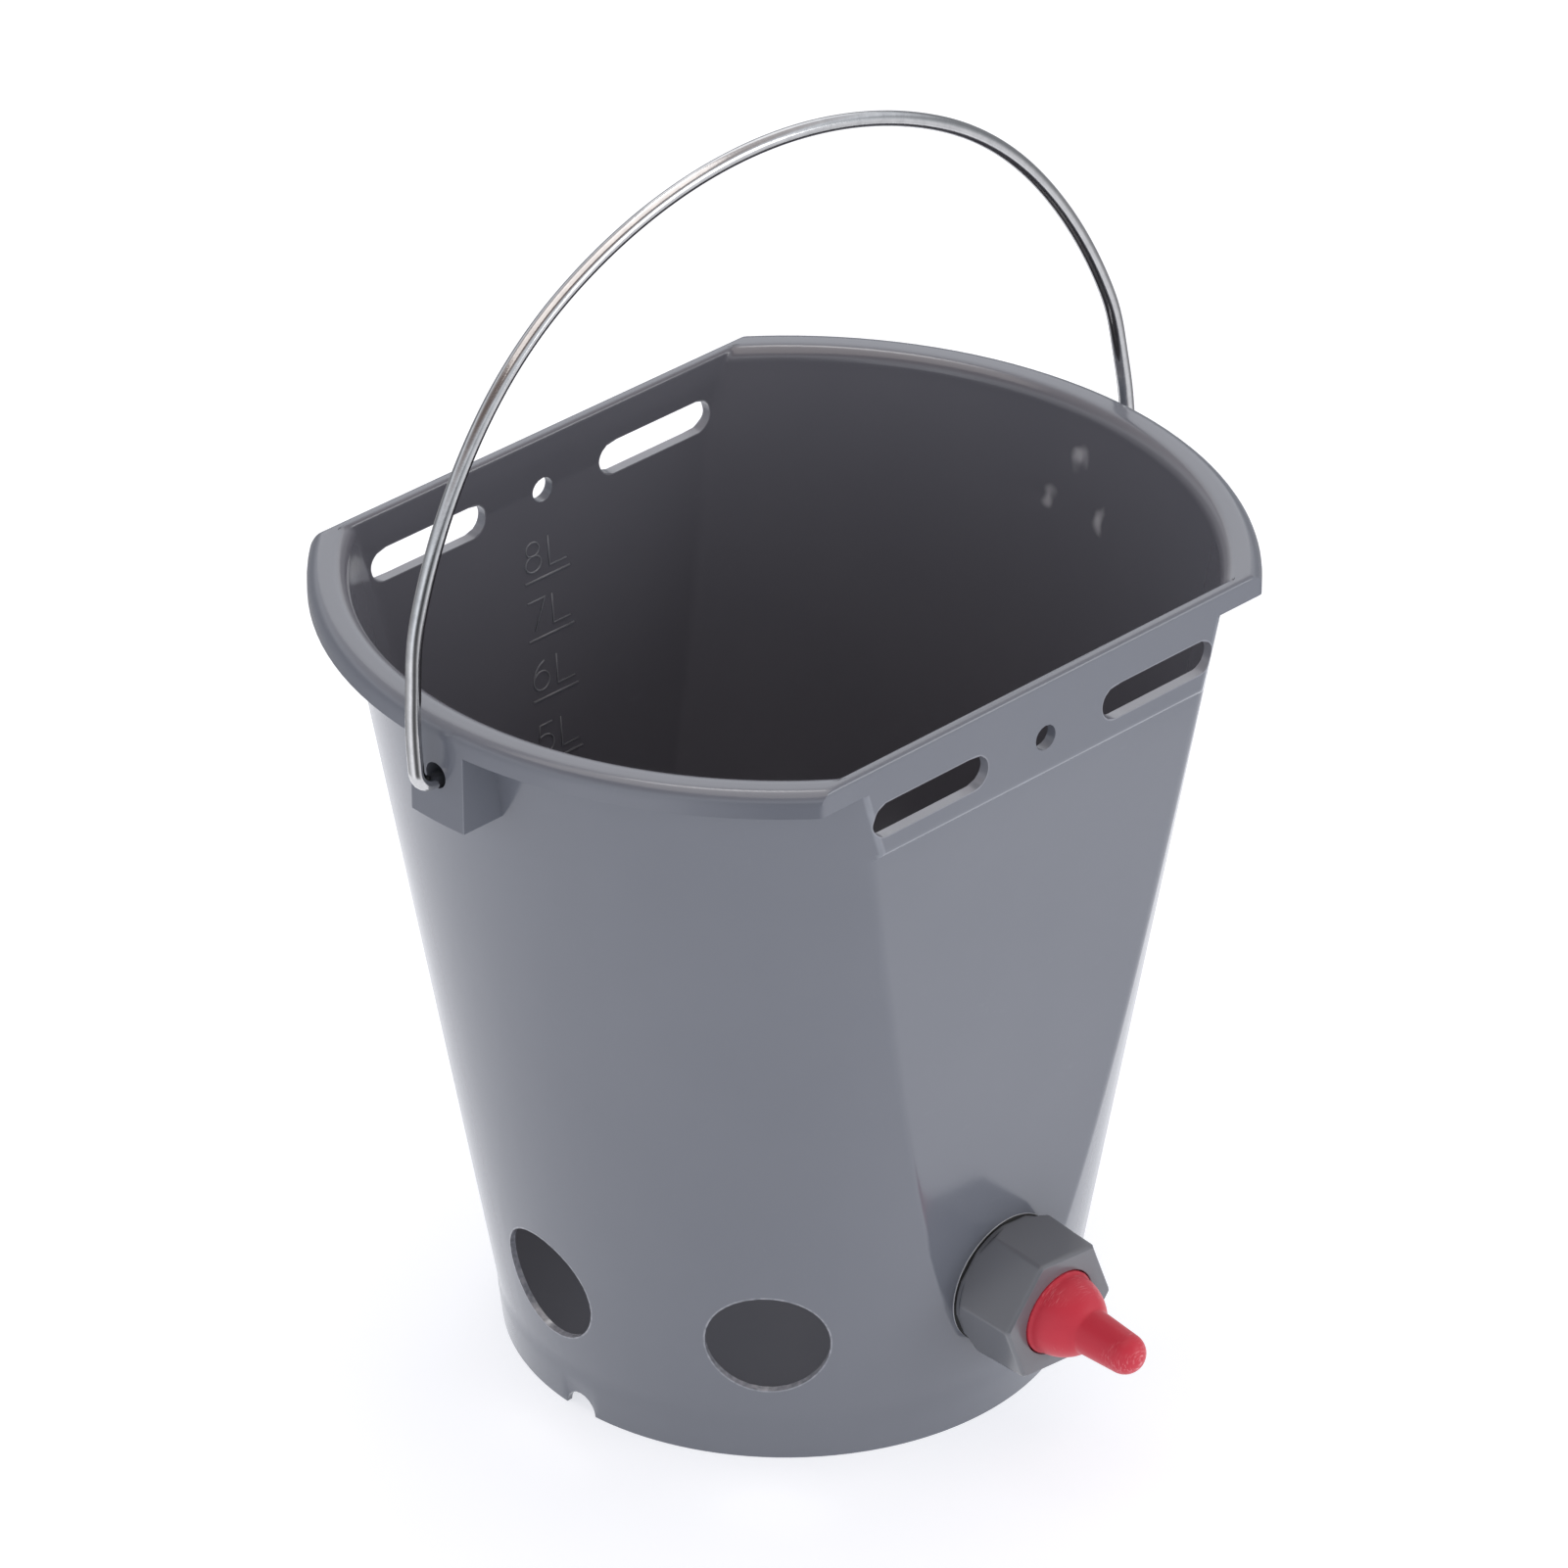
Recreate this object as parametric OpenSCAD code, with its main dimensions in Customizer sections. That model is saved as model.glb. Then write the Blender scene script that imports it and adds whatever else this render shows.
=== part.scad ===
// Calf feeder bucket: a moulded bucket with two flat sides that hangs on a gate by its slots.
// A red teat sits in a hexagon nut on the front flat, with a ball valve behind it in the milk.
// The bucket's axis is Z, its foot stands on z = 0, and the teat points to -Y.

/* [Bucket shell] */
// Height from the floor to the top of the rim
bucket_h = 280.8; // [260:0.1:320]
// Diameter of the round wall, carried down to z = 0
cone_base_d = 185.9; // [176:0.1:196]
// Draft of the round wall, degrees from upright
cone_angle = 9.59; // [8.8:0.01:10.4]
// Wall thickness of the moulding
wall = 2.1; // [1.6:0.1:2.8]
// Height of the inner floor above the ground
floor_z = 21; // [17:0.5:26]
// Thickness of the floor
floor_t = 2.7; // [2:0.1:4]
// Rounding between the inner floor and the wall
floor_fillet = 5; // [2:0.5:9]
// How far the foot stands outside the round wall's line on the ground
foot_flare = 1.15; // [0.6:0.05:2]
// Height of the nearly upright foot band
foot_h = 13; // [9:0.5:16]
// How far the foot band stands proud of the round wall at its top
foot_proud = 0.35; // [0.1:0.05:0.8]
// Height over which the foot band blends into the wall
foot_blend = 2.5; // [1:0.5:4]
// Draft of the skirt's inner face under the floor, degrees
skirt_draft = 1.5; // [0.5:0.5:3]
// Width of the drain notch in the foot
notch_w = 13.2; // [8:0.1:18]
// Height of the drain notch in the foot
notch_h = 6.3; // [5:0.1:7]

/* [Flat sides] */
// Distance of each flat outside the round wall, both carried down to z = 0
flat_start = 1.9; // [1.2:0.1:3]
// Lean of each flat, degrees from upright
flat_lean = 4.09; // [3.6:0.01:4.6]
// How far each upright hanging band stands out from its flat at the ledge
band_step = 2.12; // [1.5:0.01:3]
// Distance of the ledge under each hanging band from the top of the rim
ledge_drop = 32.8; // [29.5:0.1:38]
// Height over which the ledge slopes out to the band
ledge_slope = 1.6; // [0.8:0.1:3]
// Thickness of the band at its top edge
band_top_t = 4.2; // [3.6:0.1:5]
// Rounding of the band's top edges
band_edge_r = 1.3; // [0.5:0.1:1.7]

/* [Hanging slots] */
// Length of one slot
slot_len = 50; // [36:1:54]
// Height of one slot
slot_h = 12; // [8:0.5:14]
// Width left between the two slots in a flat
slot_gap = 50.9; // [44:0.1:52]
// Distance of the slots' middle from the top of the rim
slot_drop = 20; // [17.5:0.1:22]
// Diameter of the hanging hole between the slots
hang_hole_d = 8.7; // [6:0.1:12]

/* [Rim] */
// How far the rim overhangs the round wall
rim_overhang = 11.72; // [10.5:0.01:14]
// Height of the rim's turned-down lip
lip_h = 8.1; // [6.5:0.1:11]
// Rounding of the rim's outer top edge
rim_edge_r = 4.3; // [3.2:0.1:5]
// Rounding of the rim's inner top edge
rim_flare_r = 5; // [3.5:0.1:6]
// Extra thickness of the wall under the rim
rim_root = 0.5; // [0.2:0.1:1]
// Thickness of the plates that close the rim's ends
end_plate_t = 2.2; // [1.5:0.1:3]

/* [Bail ears] */
// Width of an ear
ear_w = 23.5; // [18:0.5:30]
// Distance of an ear's lower end from the top of the rim
ear_drop = 35; // [31:0.5:42]
// Diameter of the bail's hole in an ear
ear_hole_d = 8.7; // [6:0.1:11]
// Distance of the middle of the bail's hole from the top of the rim
ear_hole_drop = 18.4; // [16:0.1:20.5]
// Depth of the bail's hole
ear_hole_depth = 11.4; // [8:0.1:12]

/* [Lower holes] */
// Diameter of every teat hole
teat_hole_d = 40.3; // [38.5:0.1:42]
// Height of the open teat holes' middles above the inner floor
open_hole_rise = 27; // [25:0.5:35]
// First open hole on each side, degrees round from the front teat
open_hole_near = 48.2; // [44:0.1:56]
// Second open hole on each side, degrees round from the front teat
open_hole_far = 94.8; // [88:0.1:100]

/* [Litre marks] */
// Highest mark, in litres
top_litre = 8; // [4:1:9]
// Length of a mark
mark_len = 20; // [12:1:24]
// Height of a mark's rib
mark_w = 0.9; // [0.6:0.1:1.5]
// How far a mark stands out from the wall
mark_proud = 0.4; // [0.2:0.05:0.8]

/* [Bail handle] */
// Diameter of the bail's wire
wire_d = 5; // [4:0.1:5.4]
// Height of the bail's crown above its pivots, to the wire's middle
bail_rise = 158.4; // [150:0.1:170]
// Lean of the bail toward the back, degrees
bail_lean = 4.95; // [0:0.05:15]
// Distance of the bail's legs from the rim, to the wire's middle
leg_gap = 7.95; // [7:0.05:12]
// Turn of the crown on each side, degrees
crown_turn = 26.8; // [26:0.1:28]
// Bend radius of the shoulder
shoulder_r = 131; // [127:0.5:134]
// Turn of the shoulder, degrees
shoulder_turn = 23; // [22:0.1:24]
// Bend radius of the flank
flank_r = 172; // [169:0.5:175]
// Turn of the flank, degrees
flank_turn = 22.1; // [21:0.1:23]
// Bend radius of the kink above the leg
kink_r = 15; // [10:1:25]
// Turn of the kink, degrees
kink_turn = 11.2; // [10:0.1:12.5]
// Length of the slanting part of the leg
leg_run = 24; // [20:0.5:28]
// Bend radius where the leg comes upright
knee_r = 60; // [40:1:70]
// Bend radius at the ear
eye_r = 6; // [4.5:0.1:7]
// How far the wire's end reaches into the ear
wire_reach = 9; // [6:0.1:10]

/* [Teat valve] */
// Height of the teat's middle above the inner floor
teat_rise = 32.9; // [31:0.1:39]
// Thickness of the ring between nut and wall
outer_gasket_t = 0.8; // [0.5:0.1:1.5]
// Outer diameter of the ring between nut and wall
outer_gasket_d = 45.4; // [44.8:0.1:47]
// Thickness of the ring between valve and wall
inner_gasket_t = 1.5; // [1:0.1:2]
// Outer diameter of the ring between valve and wall
inner_gasket_d = 48; // [45:0.5:49]
// Diameter of the valve's inner flange
flange_d = 52; // [50:0.5:53]
// Thickness of the valve's inner flange
flange_t = 3; // [2:0.1:4]
// Size across the flats of the grip behind the flange
grip_af = 34; // [30:0.5:40]
// Length of the grip behind the flange
grip_len = 4; // [3:0.5:6]
// Diameter of the valve's threaded spigot
thread_d = 36.6; // [34.5:0.1:37.2]
// Reach of the spigot in front of the wall
spigot_reach = 19; // [18:0.1:19.5]
// Diameter of the valve's chamber
chamber_d = 25; // [24:0.1:26]
// Diameter of the valve's inlet
inlet_d = 12.4; // [10:0.1:13]
// Length of the inlet inside the flange, up to the ball's seat
seat_lip = 0.7; // [0.3:0.1:1]
// Width of a rib that guides the ball
rib_w = 2; // [1:0.1:4]
// Diameter of the valve ball
ball_d = 19; // [18:0.1:20]
// Travel of the valve ball off its seat
ball_travel = 3.9; // [3:0.1:4.5]
// Diameter of the cage ring that keeps the ball
cage_d = 28.4; // [27:0.1:29.5]
// Width of a bar of the cage
cage_bar = 2.4; // [1.5:0.1:4]
// Thickness of a bar of the cage
cage_bar_t = 2.5; // [1.5:0.1:3]

/* [Teat nut] */
// Distance of the nut's front face from the wall
nut_reach = 25.5; // [24.8:0.1:28]
// Size across corners at the front
nut_corners = 48.4; // [47.6:0.1:50]
// Growth across corners from the front to the back, from the mould's draft
nut_draft = 1.8; // [0.5:0.1:2.5]
// Turn of the hexagon from upright flats, degrees
nut_turn = 53.9; // [0:0.1:60]
// Diameter of the round collar at the wall
nut_collar_d = 44.7; // [43.8:0.1:45.4]
// Length of the round collar
nut_collar_len = 1.4; // [0.8:0.1:3]
// Bevel of the front edges
nut_bevel = 0.9; // [0.4:0.1:1.5]
// Diameter of the hole for the teat
nut_hole_d = 30; // [29.8:0.1:31]
// Thickness of the lip that clamps the teat
nut_lip = 4; // [3:0.1:4.5]

/* [Teat] */
// Diameter of the dome where it leaves the nut
dome_d = 29.5; // [28:0.1:29.6]
// Length of the full ellipse that the dome follows
dome_len = 19.5; // [17:0.1:22]
// Diameter of the nipple at the dome
nipple_root_d = 16; // [13:0.1:18]
// Diameter of the nipple's round end
nipple_tip_d = 14.8; // [12:0.1:15.8]
// Length of the teat in front of the nut
teat_len = 36.7; // [32:0.1:42]
// Thickness of the rubber
teat_wall = 2.6; // [1.8:0.1:3.4]
// Thickness of the teat's flange inside the nut
teat_flange_t = 2.3; // [2:0.1:2.35]

/* [Hidden] */
$fn = 96;

// Clearances: a loose thread, a piece that is only seated, a piece that passes a hole, a guided ball,
// the bail's ends where they hang in their holes, and the ball on its seat and on its cage
thread_gap = 0.1;
seat_gap = 0.05;
hole_gap = 0.3;
guide_gap = 0.3;
hang_gap = 0.15;
ball_gap = 0.1;
overrun = 5;
arc_steps = 6;
wire_sides = 16;
ring_spacing = 12;
quarter = 90;

// Reach of the wall into its own thickness, measured level
wall_round = wall / cos(cone_angle);
wall_flat = wall / cos(flat_lean);

// Places that follow from the height of the rim, the floor and the round wall
lip_z = bucket_h - lip_h;
ledge_z = bucket_h - ledge_drop;
slot_z = bucket_h - slot_drop;
ear_z = bucket_h - ear_drop;
ear_hole_z = bucket_h - ear_hole_drop;
teat_z = floor_z + teat_rise;
open_hole_z = floor_z + open_hole_rise;
foot_r = cone_base_d / 2 + foot_flare;

// Outer radius of the round wall, and outer distance of a flat from the axis, at height z
function cone_r(z) = cone_base_d / 2 + z * tan(cone_angle);
function flat_y(z) = cone_base_d / 2 + flat_start + z * tan(flat_lean);
function inner_r(z) = cone_r(z) - wall_round;
function inner_y(z) = flat_y(z) - wall_flat;

// Points of an arc about a centre, from one angle to another
function arc(centre, r, from, to) =
    [for (i = [0:arc_steps]) let (a = from + (to - from) * i / arc_steps) centre + r * [cos(a), sin(a)]];
function mirrored(points) = [for (i = [len(points) - 1:-1:0]) [-points[i].x, points[i].y]];

// Area of the milk's surface at height z, and the volume below it, added up a millimetre at a time
function milk_area(z) =
    let (r = inner_r(z), c = min(inner_y(z), r)) 2 * (c * sqrt(r * r - c * c) + r * r * asin(c / r) * PI / 180);
milk_volumes = [for (z = floor_z, v = 0; z < bucket_h; v = v + milk_area(z + 0.5), z = z + 1) [v, z]];
function litre_z(n) = lookup(n * 1e6, milk_volumes);

rim_r = cone_r(lip_z) + rim_overhang;
band_y = flat_y(ledge_z) + band_step;
band_inner_y = band_y - band_top_t;
flare_z = bucket_h - rim_flare_r;
foot_top_r = cone_r(foot_h) + foot_proud;
skirt_r = foot_r - wall;
skirt_h = floor_z - floor_t;
ear_floor_x = rim_r - ear_hole_depth;

// Half of the wall's round profile, as distance from the axis and height
function outer_profile() = concat(
    [[0, 0], [foot_r, 0], [foot_top_r, foot_h], [cone_r(foot_h + foot_blend), foot_h + foot_blend]],
    [[cone_r(lip_z), lip_z], [rim_r, lip_z]],
    arc([rim_r - rim_edge_r, bucket_h - rim_edge_r], rim_edge_r, 0, 90),
    [[0, bucket_h]]);

function cavity_profile() =
    let (fillet_c = [inner_r(floor_z + floor_fillet) - floor_fillet / cos(cone_angle), floor_z + floor_fillet])
    let (flare_c = [inner_r(flare_z) + rim_flare_r, flare_z])
    concat(
        [[0, floor_z]],
        arc(fillet_c, floor_fillet, -90, -cone_angle),
        arc(flare_c, rim_flare_r, 180, 90),
        [[flare_c.x, bucket_h + overrun], [0, bucket_h + overrun]]);

function skirt_profile() = [
    [0, -overrun], [skirt_r, -overrun], [skirt_r, 0],
    [skirt_r - skirt_h * tan(skirt_draft), skirt_h], [0, skirt_h]];

// Hollow under the rim, one wall thickness inside the rim's own shape
function channel_profile() =
    let (flare_c = [inner_r(flare_z) + rim_flare_r, flare_z])
    let (edge_c = [rim_r - rim_edge_r, bucket_h - rim_edge_r])
    let (root_r = rim_flare_r - wall_round - rim_root)
    concat(
        [[flare_c.x - root_r, lip_z - overrun]],
        arc(flare_c, root_r, 180, 90),
        arc(edge_c, rim_edge_r - wall, 90, 0),
        [[rim_r - wall, lip_z - overrun]]);

// Side outline of the two flats with their hanging bands, as distance from the middle and height
function band_outline() = let (half = concat(
    [[flat_y(-overrun), -overrun], [flat_y(ledge_z - ledge_slope), ledge_z - ledge_slope], [band_y, ledge_z]],
    arc([band_y - band_edge_r, bucket_h - band_edge_r], band_edge_r, 0, 90)))
    concat(half, mirrored(half));

// Inner face of a flat: it leaves the lean at the slots' middle and is upright a slot's height above
function cavity_y(z) = lookup(z, [
    [-overrun, inner_y(-overrun)], [slot_z, inner_y(slot_z)], [slot_z + slot_h, band_inner_y]]);
function band_cavity() =
    let (half = concat(
        [for (z = [-overrun, slot_z, slot_z + slot_h]) [cavity_y(z), z]],
        arc([band_inner_y + band_edge_r, bucket_h - band_edge_r], band_edge_r, 180, 90),
        [[band_inner_y + band_edge_r, bucket_h + overrun]]))
    concat(half, mirrored(half));

// Runs a side outline through the whole width of the bucket
module across(outline) {
    rotate([90, 0, 90])
        linear_extrude(height = 2 * rim_r + 2 * overrun, center = true)
            polygon(outline);
}

module turned(profile) {
    rotate_extrude($fn = 180) polygon(profile);
}

// Places children on the round wall, with their +Z pointing straight out of it
module at_round_wall(angle, z) {
    rotate([0, 0, angle])
        translate([cone_r(z), 0, z])
            rotate([0, 90 + cone_angle, 0])
                children();
}

// Places children at the teat, with z = 0 on the outer face of the front flat and +Z out of it
module at_teat() {
    translate([0, -flat_y(teat_z), teat_z])
        rotate([90 + flat_lean, 0, 0])
            children();
}

module bucket_shell() {
    intersection() {
        turned(outer_profile());
        across(band_outline());
    }
}

// The width of both ears as blocks, from their lower ends up to the given height
module ear_blocks(top) {
    for (side = [0, 180])
        rotate([0, 0, side])
            translate([cone_r(ear_z) - wall, -ear_w / 2, ear_z])
                cube([rim_r, ear_w, top - ear_z]);
}

module bail_ears() {
    intersection() {
        cylinder(r = rim_r, h = bucket_h);
        ear_blocks(lip_z + wall);
    }
}

// The hollow runs from ear to end plate on each round side, and stops at the solid ears
module rim_channel() {
    difference() {
        intersection() {
            turned(channel_profile());
            translate([0, 0, bucket_h])
                cube([4 * rim_r, 2 * (band_y - end_plate_t), 4 * lip_h], center = true);
        }
        ear_blocks(bucket_h + overrun);
    }
}

module milk_cavity() {
    intersection() {
        turned(cavity_profile());
        across(band_cavity());
    }
}

module slot_outline() {
    for (side = [-1, 1])
        translate([side * (slot_len - slot_h) / 2, 0])
            circle(d = slot_h);
    square([slot_len - slot_h, slot_h], center = true);
}

// The slots and the hanging hole, cut straight through both bands
module hanging_cuts() {
    for (side = [-1, 1])
        translate([side * (slot_gap + slot_len) / 2, 0, slot_z])
            rotate([90, 0, 0])
                linear_extrude(height = 2 * band_y + 2 * overrun, center = true)
                    slot_outline();
    translate([0, 0, slot_z])
        rotate([90, 0, 0])
            cylinder(d = hang_hole_d, h = 2 * band_y + 2 * overrun, center = true);
}

module ear_bores() {
    for (side = [0, 180])
        rotate([0, 0, side])
            translate([ear_floor_x, 0, ear_hole_z])
                rotate([0, 90, 0])
                    cylinder(d = ear_hole_d, h = ear_hole_depth + overrun);
}

module teat_holes() {
    for (around = [open_hole_near, open_hole_far], side = [-1, 1])
        at_round_wall(side * around - 90, open_hole_z)
            cylinder(d = teat_hole_d, h = 4 * wall + 2 * overrun, center = true);
    at_teat()
        cylinder(d = teat_hole_d, h = 4 * wall + 2 * overrun, center = true);
}

module drain_notch() {
    translate([-foot_r, 0, notch_h - notch_w / 2])
        rotate([0, 90, 0])
            cylinder(d = notch_w, h = 4 * overrun, center = true);
}

// Ribs on the back flat, each where the milk reaches a whole litre
module litre_marks() {
    for (n = [1:top_litre]) {
        z = litre_z(n);
        translate([0, cavity_y(z), z])
            rotate([-flat_lean, 0, 0])
                translate([0, (wall / 2 - mark_proud) / 2, 0])
                    cube([mark_len, wall / 2 + mark_proud, mark_w], center = true);
    }
}

module bucket_body() {
    color([0.47, 0.49, 0.53]) {
        difference() {
            union() {
                bucket_shell();
                bail_ears();
            }
            rim_channel();
            milk_cavity();
            turned(skirt_profile());
            hanging_cuts();
            ear_bores();
            teat_holes();
            drain_notch();
        }
        litre_marks();
    }
}

// The bail is drawn from its crown: each step is a bend [radius, turn] or a straight run [0, length].
// The heading is the turn so far, so 0 runs level outward and 90 straight down.
lower_bends = [
    [shoulder_r, shoulder_turn], [flank_r, flank_turn], [kink_r, kink_turn], [0, leg_run],
    [knee_r, 90 - crown_turn - shoulder_turn - flank_turn - kink_turn]];
function after(place, step) = let (h = place[1]) step[0] == 0
    ? [place[0] + step[1] * [cos(h), -sin(h)], h]
    : [place[0] + step[0] * [sin(h + step[1]) - sin(h), cos(h + step[1]) - cos(h)], h + step[1]];
function places(steps, i = 0, place = [[0, bail_rise], 0]) =
    i == len(steps) ? [place] : concat([place], places(steps, i + 1, after(place, steps[i])));

// The crown's bend is as wide as it takes for the legs to clear the rim
lower_reach = places(lower_bends, 0, [[0, 0], crown_turn])[len(lower_bends)][0].x;
crown_r = (rim_r + leg_gap - lower_reach) / sin(crown_turn);
bail_bends = concat([[crown_r, crown_turn]], lower_bends);
knee_end = places(bail_bends)[len(bail_bends)][0];
bail_steps = concat(bail_bends, [[0, knee_end.y - eye_r], [eye_r, quarter]]);
pivot_z = ear_hole_z - (ear_hole_d - wire_d) / 2 + hang_gap;

// Rings of the wire: one at the end of each run, and several along each bend
function ring_count(step) = step[0] == 0 ? 1 : max(4, ceil(step[1] * PI / 180 * step[0] / ring_spacing));
function part_way(place, step, share) = after(place, [step[0], step[1] * share]);
function ring_places(steps) = let (at = places(steps))
    [for (i = [0:len(steps) - 1], k = [1:ring_count(steps[i])]) part_way(at[i], steps[i], k / ring_count(steps[i]))];
right_places = ring_places(bail_steps);
left_places = [for (i = [len(right_places) - 1:-1:0])
    [[-right_places[i][0].x, right_places[i][0].y], -right_places[i][1]]];
bail_places = concat(left_places, [[[0, bail_rise], 0]], right_places);

// A ring has as many sides as this, and the same area as the round wire
ring_r = wire_d / 2 * sqrt(2 * PI / (wire_sides * sin(360 / wire_sides)));
function ring(place) = [for (k = [0:wire_sides - 1])
    let (a = 360 * k / wire_sides, h = place[1], out = ring_r * cos(a))
    [place[0].x + out * sin(h), ring_r * sin(a), place[0].y + out * cos(h)]];

module bent_wire() {
    last = (len(bail_places) - 1) * wire_sides;
    points = [for (place = bail_places, point = ring(place)) point];
    start_face = [for (k = [wire_sides - 1:-1:0]) k];
    end_face = [for (k = [0:wire_sides - 1]) last + k];
    side_faces = [for (i = [0:wire_sides:last - 1], k = [0:wire_sides - 1])
        let (a = i + k, b = i + (k + 1) % wire_sides) [b, b + wire_sides, a + wire_sides, a]];
    polyhedron(points, concat([start_face], [end_face], side_faces));
}

// The round ends that turn in the ears
module bail_pins() {
    for (side = [0, 180])
        rotate([0, 0, side])
            translate([rim_r - wire_reach, 0, 0])
                rotate([0, 90, 0])
                    cylinder(d = wire_d, h = knee_end.x - eye_r - rim_r + wire_reach);
}

module bail_handle() {
    color([0.72, 0.73, 0.74])
        translate([0, 0, pivot_z])
            rotate([-bail_lean, 0, 0]) {
                bent_wire();
                bail_pins();
            }
}

// Stations along the teat's axis, from the outer face of the wall outward
inner_gasket_back = -wall - inner_gasket_t;
flange_back = inner_gasket_back - flange_t;
grip_back = flange_back - grip_len;
nut_back = outer_gasket_t + seat_gap;
lip_back = nut_reach - nut_lip;
shoulder_d = teat_hole_d - 2 * hole_gap;
shoulder_front = outer_gasket_t - hole_gap;

// A ball of this size meets the 45 degree seat when its middle is ball_seated in front of the wall
seat_back = flange_back + seat_lip;
seat_front = seat_back + (chamber_d - inlet_d) / 2;
ball_seated = seat_back - inlet_d / 2 + ball_d / sqrt(2) + ball_gap;
ball_open = ball_seated + ball_travel;
cage_back = ball_open + ball_d / 2 + 2 * ball_gap;

// Hexagon over the nut's whole length, with its own size across corners at each end
module nut_hex(corners_back, corners_front) {
    translate([0, 0, nut_back])
        rotate([0, 0, nut_turn])
            cylinder(d1 = corners_back, d2 = corners_front, h = nut_reach - nut_back, $fn = 6);
}

// Round envelope that turns the hexagon's back corners down to the collar
module nut_envelope() {
    widest = nut_corners + 2 * nut_draft;
    collar_front = nut_back + nut_collar_len;
    turned([
        [0, nut_back], [nut_collar_d / 2, nut_back], [nut_collar_d / 2, collar_front],
        [widest / 2, collar_front + (widest - nut_collar_d) / 2], [widest / 2, nut_reach], [0, nut_reach]]);
}

module teat_nut() {
    bevelled = nut_corners - 2 * nut_bevel;
    color([0.40, 0.42, 0.43])
        at_teat()
            difference() {
                union() {
                    intersection() {
                        nut_hex(nut_corners + nut_draft, nut_corners);
                        nut_hex(bevelled + 2 * (nut_reach - nut_back), bevelled);
                        nut_envelope();
                    }
                    translate([0, 0, nut_back]) cylinder(d = nut_collar_d, h = nut_collar_len);
                }
                translate([0, 0, -overrun]) cylinder(d = thread_d + 2 * thread_gap, h = lip_back + overrun);
                cylinder(d = nut_hole_d, h = nut_reach + overrun);
            }
}

// The dome is half an ellipse that the nipple grows out of, where both are equally wide
dome_front = nut_reach + dome_len * sqrt(1 - pow(nipple_root_d / dome_d, 2));
tip_centre = nut_reach + teat_len - nipple_tip_d / 2;
dome_steps = 10;
function dome(d, length) = [for (i = [0:dome_steps])
    let (t = (dome_front - nut_reach) * i / dome_steps) [d / 2 * sqrt(1 - pow(t / length, 2)), nut_reach + t]];
function teat_skin(inset) = concat(
    dome(dome_d - 2 * inset, dome_len),
    [[nipple_tip_d / 2 - inset, tip_centre]],
    arc([0, tip_centre], nipple_tip_d / 2 - inset, quarter / arc_steps, quarter));

module teat() {
    brim_back = spigot_reach + seat_gap;
    brim_middle = brim_back + teat_flange_t / 2;
    color([0.80, 0.16, 0.22])
        at_teat()
            difference() {
                union() {
                    turned(concat([[0, brim_middle]], [[dome_d / 2, brim_middle]], teat_skin(0)));
                    translate([0, 0, brim_back]) cylinder(d = thread_d - 4 * thread_gap, h = teat_flange_t);
                }
                turned(concat([[0, 0]], [[dome_d / 2 - teat_wall, 0]], teat_skin(teat_wall)));
            }
}

module valve_body() {
    color([0.62, 0.63, 0.64])
        at_teat()
            difference() {
                union() {
                    translate([0, 0, grip_back])
                        cylinder(d = grip_af / cos(30), h = grip_len + flange_t / 2, $fn = 6);
                    translate([0, 0, flange_back]) cylinder(d = flange_d, h = flange_t);
                    translate([0, 0, inner_gasket_back])
                        cylinder(d = shoulder_d, h = shoulder_front - inner_gasket_back);
                    translate([0, 0, inner_gasket_back])
                        cylinder(d = thread_d, h = spigot_reach - inner_gasket_back);
                }
                translate([0, 0, grip_back - overrun]) cylinder(d = inlet_d, h = spigot_reach + 4 * overrun);
                difference() {
                    union() {
                        translate([0, 0, seat_back])
                            cylinder(d1 = inlet_d, d2 = chamber_d, h = seat_front - seat_back);
                        translate([0, 0, seat_front]) cylinder(d = chamber_d, h = cage_back - seat_front);
                    }
                    ball_guides();
                }
                translate([0, 0, cage_back])
                    cylinder(d = cage_d + 2 * seat_gap, h = spigot_reach - cage_back + overrun);
            }
}

// Four ribs that keep the ball in the middle of the milk's way
module ball_guides() {
    for (turn = [45:90:315])
        rotate([0, 0, turn])
            translate([ball_d / 2 + guide_gap, -rib_w / 2, seat_back])
                cube([chamber_d, rib_w, cage_back - seat_back]);
}

module inner_gasket() {
    color([0.10, 0.10, 0.10])
        at_teat()
            translate([0, 0, inner_gasket_back])
                difference() {
                    cylinder(d = inner_gasket_d, h = inner_gasket_t);
                    translate([0, 0, -overrun])
                        cylinder(d = shoulder_d + 2 * seat_gap, h = inner_gasket_t + 2 * overrun);
                }
}

module outer_gasket() {
    color([0.10, 0.10, 0.10])
        at_teat()
            difference() {
                cylinder(d = outer_gasket_d, h = outer_gasket_t);
                translate([0, 0, -overrun])
                    cylinder(d = shoulder_d + 2 * seat_gap, h = outer_gasket_t + 2 * overrun);
            }
}

module valve_ball() {
    color([0.90, 0.90, 0.88])
        at_teat()
            translate([0, 0, ball_open])
                sphere(d = ball_d);
}

module ball_cage() {
    ring_t = spigot_reach - cage_back;
    color([0.85, 0.85, 0.83])
        at_teat()
            translate([0, 0, cage_back]) {
                difference() {
                    cylinder(d = cage_d, h = ring_t);
                    translate([0, 0, -overrun])
                        cylinder(d = cage_d - 2 * cage_bar, h = ring_t + 2 * overrun);
                }
                intersection() {
                    cylinder(d = cage_d, h = cage_bar_t);
                    for (turn = [0, 90])
                        rotate([0, 0, turn])
                            translate([-cage_d / 2, -cage_bar / 2, 0])
                                cube([cage_d, cage_bar, cage_bar_t]);
                }
            }
}

bucket_body();
bail_handle();
teat_nut();
teat();
valve_body();
inner_gasket();
outer_gasket();
valve_ball();
ball_cage();
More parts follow.
